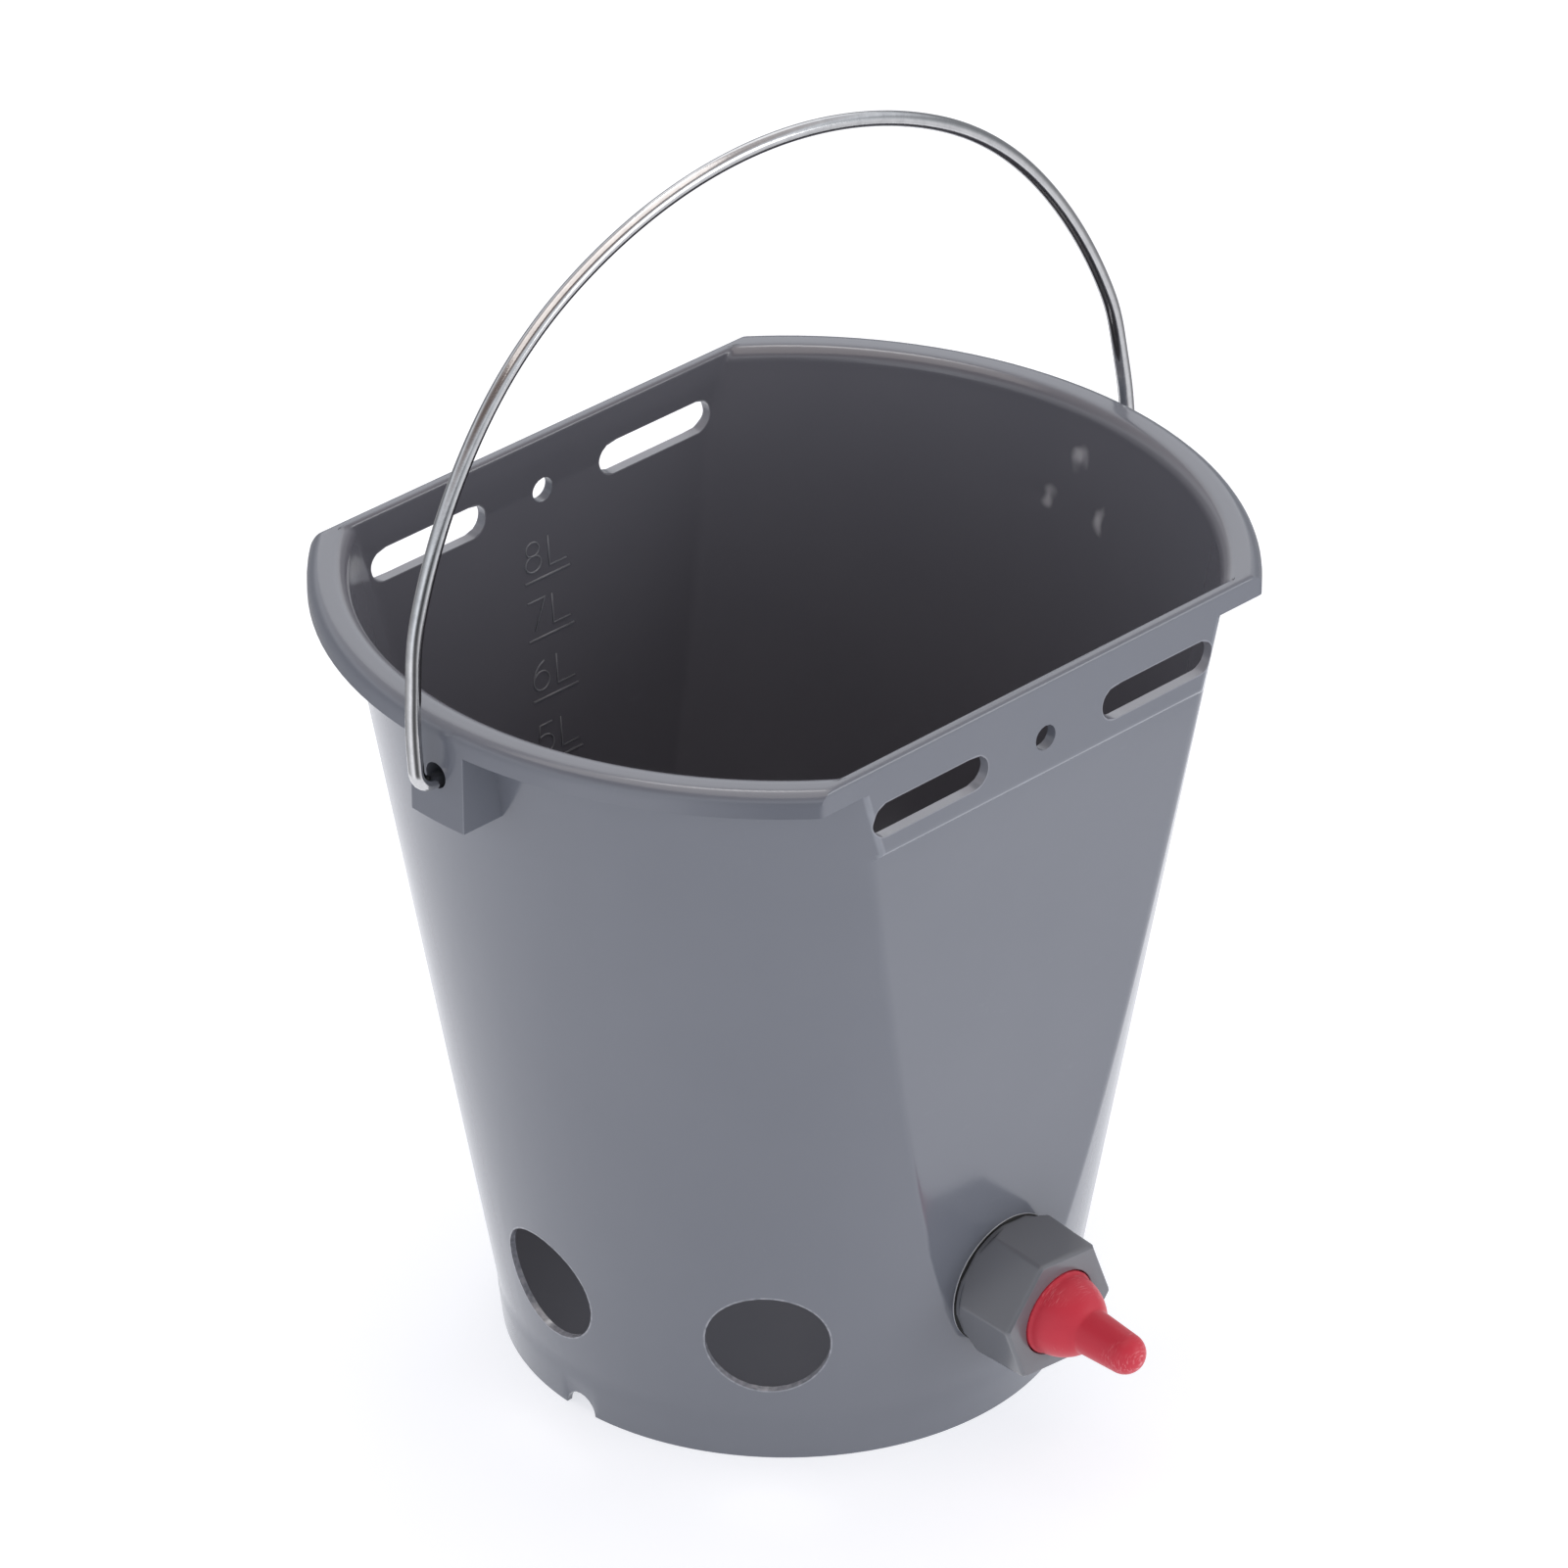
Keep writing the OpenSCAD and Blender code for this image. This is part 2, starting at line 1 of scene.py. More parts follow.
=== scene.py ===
# %% [markdown]
# # A calf feeder bucket
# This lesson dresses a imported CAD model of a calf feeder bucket: a moulded grey bucket with two flat
# sides, a wire bail, and a red teat held by a hexagon nut. The CAD model is the fixed frame. Each cell
# builds one piece or one finish, and says what the real thing is and why it is made this way.

# %% The frame
import math

import bmesh
import bpy
import numpy as np
from mathutils import Matrix, Vector


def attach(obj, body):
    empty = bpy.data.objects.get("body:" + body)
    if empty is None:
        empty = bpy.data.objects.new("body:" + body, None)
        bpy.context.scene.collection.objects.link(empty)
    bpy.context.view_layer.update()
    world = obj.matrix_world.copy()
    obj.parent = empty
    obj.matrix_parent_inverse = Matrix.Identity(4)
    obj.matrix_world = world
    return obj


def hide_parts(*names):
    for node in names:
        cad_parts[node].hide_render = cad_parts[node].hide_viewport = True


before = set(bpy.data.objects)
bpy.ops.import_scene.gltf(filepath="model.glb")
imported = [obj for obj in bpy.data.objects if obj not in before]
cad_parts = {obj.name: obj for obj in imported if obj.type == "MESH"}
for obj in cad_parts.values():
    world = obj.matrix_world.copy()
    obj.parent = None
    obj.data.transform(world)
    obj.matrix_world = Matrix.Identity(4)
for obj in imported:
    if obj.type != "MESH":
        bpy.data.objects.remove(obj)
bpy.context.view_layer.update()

# %% [markdown]
# ## The camera
# The photograph was taken with a long lens from the front left, about 30 degrees above the bucket. The
# place and the turn come from a fit to the slots, the rim, the holes and the foot, so the object's own
# edges fall where the photograph shows them. The three axes are the camera's right, up and backward
# directions.

# %% Camera
bpy.context.scene.view_settings.view_transform = "Standard"
CAMERA_PLACE = (-1.82959, -1.85112, 1.73063)
CAMERA_AXES = (
    (0.710161, -0.704034, -0.002801),
    (0.359235, 0.358934, 0.861462),
    (-0.605493, -0.612783, 0.507814),
)
CAMERA_LENS = 216.69


def make_camera():
    """A camera whose matrix has the three axes as its columns and stands at the given place."""
    data = bpy.data.cameras.new("camera")
    data.lens = CAMERA_LENS
    data.sensor_width = 36
    data.clip_start, data.clip_end = 0.1, 50
    camera = bpy.data.objects.new("camera", data)
    bpy.context.scene.collection.objects.link(camera)
    turn = Matrix(CAMERA_AXES).transposed().to_4x4()
    camera.matrix_world = Matrix.Translation(CAMERA_PLACE) @ turn
    bpy.context.scene.camera = camera
    return camera


camera = make_camera()
print("camera at", CAMERA_PLACE, "with a lens of", CAMERA_LENS, "mm")

# %% [markdown]
# ## Helpers for meshes
# Every new piece is a surface worked out with numpy in millimetres, because the drawing sizes are in
# millimetres. A grid of points becomes a mesh of four-sided faces. Rows that run into a pole or into
# each other are welded, and the faces are then turned to point outwards.

# %% Mesh helpers
MM = 0.001


def grid_faces(rows, columns, closed=True, start=0):
    """Faces of a grid of rows by columns: corner (i, j) joins (i, j+1), (i+1, j+1) and (i+1, j)."""
    i, j = np.meshgrid(np.arange(rows - 1), np.arange(columns - (not closed)), indexing="ij")
    k = (j + 1) % columns
    quads = np.stack([i * columns + j, i * columns + k, (i + 1) * columns + k, (i + 1) * columns + j], -1)
    return quads.reshape(-1, 4) + start


def make_mesh(name, points, faces, outward=True, weld=1e-6):
    """A mesh object from points in millimetres. Doubles are merged and faces are turned outwards."""
    mesh = bpy.data.meshes.new(name)
    faces = faces.tolist() if isinstance(faces, np.ndarray) else faces
    mesh.from_pydata((np.asarray(points) * MM).tolist(), [], faces)
    shape = bmesh.new()
    shape.from_mesh(mesh)
    bmesh.ops.remove_doubles(shape, verts=shape.verts, dist=weld)
    bmesh.ops.delete(shape, geom=[e for e in shape.edges if not e.link_faces], context="EDGES")
    if outward:
        bmesh.ops.recalc_face_normals(shape, faces=shape.faces)
    shape.to_mesh(mesh)
    open_edges = sum(not e.is_manifold for e in shape.edges)
    shape.free()
    mesh.shade_smooth()
    piece = bpy.data.objects.new(name, mesh)
    bpy.context.scene.collection.objects.link(piece)
    print(f"{name}: {len(mesh.vertices)} points, {len(mesh.polygons)} faces, {open_edges} open edges")
    return piece


def round_edges(piece, width, segments=2, angle=32.0):
    """Rounds every edge that is sharper than the angle, and keeps the flat faces flat to the eye."""
    bevel = piece.modifiers.new("edges", "BEVEL")
    bevel.width = width * MM
    bevel.segments = segments
    bevel.limit_method = "ANGLE"
    bevel.angle_limit = math.radians(angle)
    bevel.harden_normals = True
    bevel.miter_outer = "MITER_ARC"
    return piece


# %% [markdown]
# ## The wall of the bucket
# The bucket is a cone cut by two leaning flats, front and back. At any height z the wall is the nearer
# of two curves, seen from the axis: the circle of the cone, and the straight line of the flat. A plain
# minimum gives a sharp crease where they meet. The real mould has a soft crease, so a smooth minimum is
# used here: near the crossing it cuts the corner by an amount that makes a fillet of the wanted radius.

# %% Sizes of the moulding
DRAFT_DEGREES, LEAN_DEGREES, WALL = 9.59, 4.09, 2.1
DRAFT, LEAN = math.radians(DRAFT_DEGREES), math.radians(LEAN_DEGREES)
BUCKET_H, LIP_Z = 280.8, 272.7
BASE_R, CONE_SLOPE = 92.95, math.tan(DRAFT)
FLAT_START, FLAT_SLOPE = 94.85, math.tan(LEAN)
WALL_ROUND, WALL_FLAT = WALL / math.cos(DRAFT), WALL / math.cos(LEAN)
FLOOR_Z, FILLET_Z, FILLET_R = 21.0, 26.0, 5.0
SKIRT_H, SKIRT_R, SKIRT_SLOPE = 18.3, 92.0, math.tan(math.radians(1.5))
FOOT_R, FOOT_TOP_R, FOOT_H = 94.1, 95.5, 13.0
LEDGE_Z, LEDGE_SLOPE, SLOT_Z, SLOT_H, SLOT_LEN, SLOT_X = 248.0, 1.6, 260.8, 12.0, 50.0, 50.45
BAND_Y, BAND_INNER_Y, BAND_EDGE = 114.7, 110.5, 1.3
RIM_R, RIM_EDGE, FLARE = 150.75, 4.3, 5.0
FLARE_Z = BUCKET_H - FLARE
FLARE_X = BASE_R + CONE_SLOPE * FLARE_Z - WALL_ROUND + FLARE
PLATE_Y, LIP_INNER_R, CEILING_Z = 112.5, 148.65, 278.7
CREASE_R, BAND_CREASE_R, LEDGE_ROUND, CREASE_LEAST = 8.0, 1.3, 1.7, 15.5
TEAT_Z, OPEN_HOLE_Z, TEAT_HOLE_R, PIN_HOLE_R = 53.9, 48.0, 20.15, 4.35
TEAT_HOLE_TURNS = (48.2, 94.8)
TEAT_OUT = np.array([0, -math.cos(LEAN), -math.sin(LEAN)])


def soft_min(a, b, blend):
    """Smooth minimum: the smaller value, less a little where the two are close."""
    share = np.clip(0.5 + 0.5 * (b - a) / blend, 0, 1)
    return b * (1 - share) + a * share - blend * share * (1 - share)


def outer_round(z):
    """Radius of the cone: its base radius plus the height times the tangent of the draft."""
    return BASE_R + CONE_SLOPE * z


def outer_flat(z):
    """Distance of the flat's outer face: a leaning line, then the ledge, then the upright band."""
    low = LEDGE_Z - LEDGE_SLOPE
    foot = FLAT_START + FLAT_SLOPE * low
    ledge = foot + (BAND_Y - foot) * (z - low) / LEDGE_SLOPE
    upper = soft_min(ledge, BAND_Y, LEDGE_ROUND)
    over = np.clip(z - (BUCKET_H - BAND_EDGE), 0, BAND_EDGE)
    rounding = BAND_EDGE - np.sqrt(BAND_EDGE**2 - over**2)
    return np.where(z < low, FLAT_START + FLAT_SLOPE * z, upper) - rounding


def inner_round(z):
    """Radius of the inner face, one wall inside the cone, flaring out by a quarter circle at the top."""
    up = np.clip(z - FLARE_Z, 0, FLARE)
    straight = outer_round(np.minimum(z, FLARE_Z)) - WALL_ROUND
    return straight + FLARE - np.sqrt(FLARE**2 - up**2)


def inner_flat(z):
    """Distance of the flat's inner face: the leaning line, upright by a slot's height above the slots."""
    heights = [0, SLOT_Z, SLOT_Z + SLOT_H]
    places = [FLAT_START - WALL_FLAT, FLAT_START + FLAT_SLOPE * SLOT_Z - WALL_FLAT, BAND_INNER_Y]
    over = np.clip(z - (BUCKET_H - BAND_EDGE), 0, BAND_EDGE)
    return np.interp(z, heights, places) + BAND_EDGE - np.sqrt(BAND_EDGE**2 - over**2)


def crease_angle(round_r, flat_y):
    """Angle from the flat's middle to the crease: its cosine is the flat's distance over the radius."""
    return np.arccos(np.clip(flat_y / np.maximum(round_r, 1e-6), -1, 1))


def soft_section(phi, round_r, flat_y, crease_r):
    """Smooth minimum of the circle's radius and the line's distance over the cosine of the angle."""
    line = flat_y / np.maximum(np.abs(np.cos(phi)), 0.05)
    blend = np.maximum(crease_r * crease_angle(round_r, flat_y) ** 2 / 2, 1e-4)
    share = np.clip(0.5 + 0.5 * (line - round_r) / blend, 0, 1)
    return line * (1 - share) + round_r * share - blend * share * (1 - share)


def crease_radius(z):
    """Radius of the outer crease: wide up to the ledge, and crisp at the ends of the hanging band."""
    return np.interp(z, [LEDGE_Z - LEDGE_SLOPE, LEDGE_Z], [CREASE_R, BAND_CREASE_R])


def outer_wall(phi, z):
    """Outer face of the wall as a distance from the axis, at an angle from the flat and a height."""
    return soft_section(phi, outer_round(z), outer_flat(z), crease_radius(z))


def inner_wall(phi, z):
    """Inner face of the wall as a distance from the axis, at an angle from the flat and a height."""
    return soft_section(phi, inner_round(z), inner_flat(z), CREASE_R)


print("crease at the ledge:", round(math.degrees(crease_angle(outer_round(LEDGE_Z), BAND_Y)), 1), "degrees")

# %% [markdown]
# ## Rows and columns
# One grid covers the whole moulding. Its rows start under the floor, run down the skirt, round the foot,
# up the outside, through the hollow under the rim, over the top, down the inside and across the floor.
# Each row is a height, a radius where the bucket is round, and a distance where it is flat. Its columns
# run round the axis. They follow the creases, so that no face lies across one.

# %% Rows
WALL_HEIGHTS = np.concatenate([
    [26.0], np.arange(30, 79, 4.0), np.linspace(78, 238, 31)[1:], [240.5, 243, 245.8, 246.4],
    [246.85, 247.2, 247.5, 247.8, 248.1, 248.4, 248.75, 249.2, 250.2, 251.4],
    np.linspace(252.8, 268.8, 17), [270.7, LIP_Z]])
EAR_Z, EAR_HALF, BORE_Z, BORE_R, BORE_DEPTH = 245.8, 11.75, 262.4, 4.35, 11.4
NOTCH_HALF, NOTCH_TOP, NOTCH_FADE = 6.6, 6.3, 12.0


def arc(centre_r, centre_z, radius, start, end, count):
    """Rows along an arc in the upright plane, from one angle to the other, without its first point."""
    a = np.radians(np.linspace(start, end, count + 1)[1:])
    return np.stack([centre_z + radius * np.sin(a), centre_r + radius * np.cos(a)], 1)


def moulding_rows():
    """Rows as (height, round radius, flat distance, crease radius), and where each part starts."""
    far = 1e3
    rows, start = [], {}

    def add_rows(name, z, r, flat, crease=CREASE_R):
        """Rows under a name. Each value is one number for all of them, or one for each."""
        start[name] = sum(len(x) for x in rows)
        z, r, flat = np.broadcast_arrays(*(np.atleast_1d(np.asarray(v, float)) for v in (z, r, flat)))
        rows.append(np.stack([z, r, flat, np.broadcast_to(crease, z.shape)], 1))

    add_rows("under", SKIRT_H, [0, 12, 30, 50, 70, 84, SKIRT_R - SKIRT_H * SKIRT_SLOPE], far)
    down = np.array([15, 11, 7, 3.5, 0])
    add_rows("skirt", down, SKIRT_R - down * SKIRT_SLOPE, far)
    up = np.array([0, 3.5, 7, 10, FOOT_H])
    add_rows("foot", up, FOOT_R + (FOOT_TOP_R - FOOT_R) * up / FOOT_H, far)
    low = np.array([15.5, 19, 22.5])
    add_rows("low", low, outer_round(low), outer_flat(low))
    up = WALL_HEIGHTS
    add_rows("outer", up, outer_round(up), outer_flat(up), crease_radius(up))
    root = FLARE - WALL
    channel = np.concatenate([
        [[FLARE_Z, FLARE_X - root]], arc(FLARE_X, FLARE_Z, root, 180, 90, 4),
        [[CEILING_Z, FLARE_X + 2]],
        arc(RIM_R - RIM_EDGE, BUCKET_H - RIM_EDGE, RIM_EDGE - WALL, 90, 0, 3),
        [[274.6, LIP_INNER_R], [LIP_Z, LIP_INNER_R]]])
    add_rows("channel", channel[:, 0], channel[:, 1], PLATE_Y, 0.5)
    lip = np.array([LIP_Z, 274, 275.3, BUCKET_H - RIM_EDGE])
    add_rows("lip", lip, RIM_R, BAND_Y, 2.0)
    edge = arc(RIM_R - RIM_EDGE, BUCKET_H - RIM_EDGE, RIM_EDGE, 0, 90, 7)
    add_rows("edge", edge[:, 0], edge[:, 1], outer_flat(edge[:, 0]), 2.0)
    over = np.array([0.3, 0.7, 1.0])
    ends = (edge[-1, 1], FLARE_X), (float(outer_flat(BUCKET_H)), float(inner_flat(BUCKET_H)))
    add_rows("top", BUCKET_H, *(a + (b - a) * over for a, b in ends), 2.0)
    flare = arc(FLARE_X, FLARE_Z, FLARE, 90, 180, 8)
    add_rows("flare", flare[:, 0], flare[:, 1], inner_flat(flare[:, 0]), 4.0)
    inside = WALL_HEIGHTS[::-1]
    add_rows("inner", inside, inner_round(inside), inner_flat(inside))
    centre_r = float(inner_round(FILLET_Z)) - FILLET_R / math.cos(DRAFT)
    fillet = arc(centre_r, FILLET_Z, FILLET_R, -DRAFT_DEGREES, -90, 6)
    add_rows("fillet", fillet[:, 0], fillet[:, 1], inner_flat(fillet[:, 0]))
    add_rows("floor", FLOOR_Z, [80, 66, 50, 32, 14, 0], far)
    return np.concatenate(rows), start


ROWS, START = moulding_rows()
print(len(ROWS), "rows:", START)

# %% Columns
PIN_SHARE, SLOT_SHARE = 0.107, 0.285
FLAT_SHARES = np.array([
    0, 0.053, PIN_SHARE, 0.166, 0.226, SLOT_SHARE, 0.36, 0.44, 0.52, 0.6, 0.68, 0.76, 0.84, 0.92, 1])
FRONT_STEPS = {"crease": 6, "near": 3, "wide": 3, "corner": 4, "beyond": 2}
SIDE_STEPS = {"hole": 9, "between": 8, "to_ear": 3, "from_ear": 5, "back": 11}
HOLE_END, FAR_START, FAR_END = 61.2, 81.8, 107.8
CORNER_LOW, CORNER_HIGH, BEYOND_LOW, BEYOND_HIGH = 28, 40.46, 35.2, 44
FADE_Z, FADE_H = 80, 170
EAR_STEPS = np.concatenate([[EAR_HALF] * 3, [9.2], NOTCH_HALF * np.sin(np.radians([90, 72, 54, 36, 18, 0]))])


def shares(count):
    """The ends of equal steps from 0 to 1, without 0."""
    return np.arange(1, count + 1) / count


def crease_and_corner(rise):
    """Angles of the crease and of the rim's outer corner for every row. On the rim both follow its edges."""
    z, round_r, flat, _ = ROWS.T
    row = np.arange(len(z))
    wall = crease_angle(outer_round(np.minimum(z, LIP_Z)), outer_flat(np.minimum(z, LIP_Z)))
    own = crease_angle(round_r, flat)
    inside = row >= START["flare"]
    top = (row >= START["top"]) & ~inside
    rim = (row >= START["channel"]) & (row < START["top"])
    crease = np.where(inside, own, wall)
    crease[top] = wall[top] + (own[START["flare"] - 1] - wall[top]) * shares(top.sum())
    crease = np.maximum(crease, math.radians(CREASE_LEAST))
    low, high = math.radians(CORNER_LOW), math.radians(CORNER_HIGH)
    edge = crease_angle(np.maximum(round_r, RIM_R - RIM_EDGE), np.minimum(flat, BAND_Y))
    corner = np.where(rim, edge, low + (high - low) * rise)
    upright = (row < START["lip"]) | (z < BUCKET_H - RIM_EDGE + 0.01)
    corner[rim & upright] = crease_angle(RIM_R, BAND_Y)
    corner = np.where(inside, np.maximum(corner, crease + math.radians(3.7)), corner)
    before, after = corner[START["top"] - 1], corner[START["flare"]]
    corner[top] = before + (after - before) * shares(top.sum())
    half = np.where(inside, CREASE_R, crease_radius(z)) * np.tan(crease / 2) / 100
    return crease, half, corner


def moulding_columns():
    """Angle from the front flat's middle for every row and column of one side, front to back."""
    z, round_r = ROWS[:, 0], ROWS[:, 1]
    height = np.clip((z - FADE_Z) / FADE_H, 0, 1)
    rise = height * height * (3 - 2 * height)
    crease, half, corner = crease_and_corner(rise)
    c1, c2 = crease - half, crease + half
    c3, c4 = corner - math.radians(0.8), corner + math.radians(0.8)
    middle = c2 + 0.42 * (c3 - c2)
    beyond = math.radians(BEYOND_LOW) + math.radians(BEYOND_HIGH - BEYOND_LOW) * rise

    def span(lo, hi, steps):
        """Columns between two angles, at shares of the way from the first to the second."""
        lo, hi = np.broadcast_to(lo, z.shape), np.broadcast_to(hi, z.shape)
        return lo[:, None] + (hi - lo)[:, None] * np.asarray(steps)[None, :]

    edges = (c1, c2, middle, c3, c4, beyond)
    front = np.concatenate([
        np.arctan(FLAT_SHARES[None, :] * np.tan(c1)[:, None]),
        *(span(lo, hi, shares(n)) for lo, hi, n in zip(edges, edges[1:], FRONT_STEPS.values()))], 1)
    ear = np.arcsin(EAR_STEPS[None, :] / np.maximum(round_r, 92)[:, None])
    ear = np.concatenate([math.pi / 2 - ear, math.pi / 2 + ear[:, ::-1][:, 1:]], 1)
    degree = math.radians(1)
    side = [
        span(beyond, HOLE_END * degree, shares(SIDE_STEPS["hole"])),
        span(HOLE_END * degree, FAR_START * degree, shares(SIDE_STEPS["between"])),
        span(FAR_START * degree, ear[:, 0], shares(SIDE_STEPS["to_ear"])[:-1]), ear,
        span(ear[:, -1], FAR_END * degree, shares(SIDE_STEPS["from_ear"])),
        span(FAR_END * degree, math.pi - beyond, shares(SIDE_STEPS["back"]))]
    counts = {"flat": len(FLAT_SHARES) - 1, "beyond": front.shape[1] - 1}
    for name, before, steps in (
            ("hole_end", "beyond", SIDE_STEPS["hole"]), ("far_start", "hole_end", SIDE_STEPS["between"]),
            ("ear", "far_start", SIDE_STEPS["to_ear"]), ("ear_end", "ear", ear.shape[1] - 1),
            ("far_end", "ear_end", SIDE_STEPS["from_ear"])):
        counts[name] = counts[before] + steps
    return np.concatenate([front, *side, math.pi - front[:, ::-1][:, 1:]], 1), counts


PHI_HALF, COLUMN = moulding_columns()
LAST = PHI_HALF.shape[1] - 1
print(PHI_HALF.shape[1], "columns on one side:", COLUMN)
assert (np.diff(PHI_HALF, axis=1) > -1e-9).all()

# %% [markdown]
# ## Special places of the grid
# Three places leave the plain rule. The hollow under the rim closes in a wedge against its end plate.
# The ear is a block on the round wall: the rows of the wall turn out along its underside, and the rows
# of the hollow run up its face. The foot has one drain notch, where the lowest rows are lifted.

# %% Points of the grid
SINK_MARKS, SINK_DEPTH, SINK_WIDTH = ((0.0, 263.0), (11.0, 246.0)), 0.35, 1.7
ROWS_AT = np.arange(len(ROWS))[:, None]


def sink_depth(y, z):
    """Dents where the thick ear shrank behind the wall: a bell curve of the distance from each mark."""
    off = [((np.abs(y) - my) ** 2 + (z - mz) ** 2) / (2 * SINK_WIDTH**2) for my, mz in SINK_MARKS]
    return SINK_DEPTH * np.exp(-np.minimum(*off))


def close_hollow(phi, r, height):
    """Near the ends of the rim its hollow sinks to a wedge against the plate that closes it."""
    channel = slice(START["channel"], START["lip"])
    gap = PLATE_Y / np.maximum(np.abs(np.cos(phi[channel])), 0.05) - (FLARE_X - FLARE + WALL)
    height[channel] = LIP_Z + (height[channel] - LIP_Z) * np.clip(gap / 0.8, 0, 1)
    lip_r = soft_section(phi[channel], RIM_R, BAND_Y, 2.0)
    r[channel] = np.minimum(np.maximum(r[channel], outer_wall(phi[channel], LIP_Z)), lip_r)


def raise_ears(phi, r, height):
    """The ear is a block: rows of the wall run out along its underside, rows of the hollow up its face."""
    first, last = COLUMN["ear"], COLUMN["ear_end"]
    bottom = START["outer"] + int(np.argmin(np.abs(WALL_HEIGHTS - EAR_Z)))
    wall_end, lip_end = START["channel"], START["lip"] + 1
    height[wall_end:START["lip"], [first + 1, last - 1]] = LIP_Z
    block = slice(first + 2, last - 1)
    out = np.linspace(0, 1, wall_end - bottom)[:, None]
    r[bottom:wall_end, block] = outer_round(EAR_Z) + (RIM_R - outer_round(EAR_Z)) * out
    height[bottom:wall_end, block] = EAR_Z
    rises = np.concatenate([[248, 251], np.linspace(BORE_Z - NOTCH_HALF, BORE_Z + NOTCH_HALF, 9), [LIP_Z]])
    assert len(rises) == lip_end - wall_end
    r[wall_end:lip_end, block] = RIM_R
    height[wall_end:lip_end, block] = rises[:, None]
    whole = slice(bottom, lip_end), slice(first, last + 1)
    steps = np.concatenate([-EAR_STEPS, EAR_STEPS[::-1][1:]])
    phi[whole] = math.pi / 2 + np.arcsin(steps[None, :] / r[whole])


def notch_heights(points):
    """Heights of all points, with the lowest rows lifted under an arch on the left, less the higher up."""
    x, y, z = np.moveaxis(points, -1, 0)
    arch = NOTCH_TOP - NOTCH_HALF + np.sqrt(np.clip(NOTCH_HALF**2 - y**2, 0, None))
    low = (ROWS_AT >= START["skirt"]) & (ROWS_AT < START["low"]) & (x < 0)
    low &= (np.abs(y) < NOTCH_HALF + 1e-6) & (z < NOTCH_FADE)
    lift = np.clip(arch, 0, None)
    return np.where(low, lift + z * (1 - lift / NOTCH_FADE), z)


def moulding_points():
    """Grid points as rows by columns by three, for the whole way round."""
    z, round_r, flat, soft = (v[:, None] for v in ROWS.T)
    phi = PHI_HALF.copy()
    r = soft_section(phi, round_r, flat, soft)
    height = np.broadcast_to(z, r.shape).copy()
    r += sink_depth(r * np.cos(phi), height) * ((ROWS_AT >= START["inner"]) & (ROWS_AT < START["fillet"]))
    close_hollow(phi, r, height)
    raise_ears(phi, r, height)
    half = np.stack([r * np.sin(phi), -r * np.cos(phi), height], -1)
    other = half[:, 1:-1][:, ::-1] * [-1, 1, 1]
    points = np.concatenate([half, other], 1)
    points[..., 2] = notch_heights(points)
    return points


POINTS = moulding_points()
AROUND = POINTS.shape[1]
print("grid of", POINTS.shape[0], "by", AROUND)

# %% [markdown]
# ## Holes
# A hole in a grid is made in two steps. A window of faces is taken out round it. The frame of the window
# is then joined to the outline of the hole by a few rings, whose points lie on the wall. The nearest
# point on a round-ended slot is found by clamping to its middle line, and a round hole is a slot of no
# length. A tunnel joins the outline outside to the outline inside.

# %% Windows and tunnels
RING_SHARES = np.array([0, 0.1, 0.24, 0.4, 0.6, 0.8, 1])
FRONT_WINDOW, SIDE_WINDOW, BAND_WINDOW = (30, 78), (26, 70), (252.8, 268.8)


class Shell:
    """The growing moulding: points, faces, and the cells of the grid that are still there."""

    def __init__(self, points):
        """Starts with the points of the grid, row after row, and keeps all its cells."""
        self.points = [points.reshape(-1, 3)]
        self.count = points.shape[0] * points.shape[1]
        self.grid = points
        self.keep = np.ones((points.shape[0] - 1, points.shape[1]), bool)
        self.faces = []

    def add_points(self, points):
        """Adds points behind the last one and returns their numbers."""
        first = self.count
        self.points.append(points.reshape(-1, 3))
        self.count += points.size // 3
        return np.arange(first, self.count)

    def frame(self, i0, i1, j0, j1):
        """Grid numbers round the window, from corner (i0, j0) along the columns first."""
        di = 1 if i1 > i0 else -1
        i, j = np.arange(i0, i1, di), np.arange(j0, j1)
        rows = np.concatenate([np.full(len(j), i0), i, np.full(len(j), i1), np.arange(i1, i0, -di)])
        columns = np.concatenate([j, np.full(len(i), j1), np.arange(j1, j0, -1), np.full(len(i), j0)])
        self.keep[min(i0, i1):max(i0, i1), j % AROUND] = False
        return rows * AROUND + columns % AROUND

    def strip(self, a, b):
        """Faces between two closed loops of point numbers."""
        self.faces.append(np.stack([a, np.roll(a, -1), np.roll(b, -1), b], 1))


def on_wall(points, axis, wall):
    """Moves points along the hole's axis until their distance from the bucket's axis is the wall's."""
    for _ in range(25):
        phi = np.arctan2(np.abs(points[..., 0]), -points[..., 1])
        r = np.hypot(points[..., 0], points[..., 1])
        miss = r - wall(phi, points[..., 2])
        lean = (points[..., :2] @ axis[:2]) / r
        points = points - (0.8 * miss / lean)[..., None] * axis
    return points


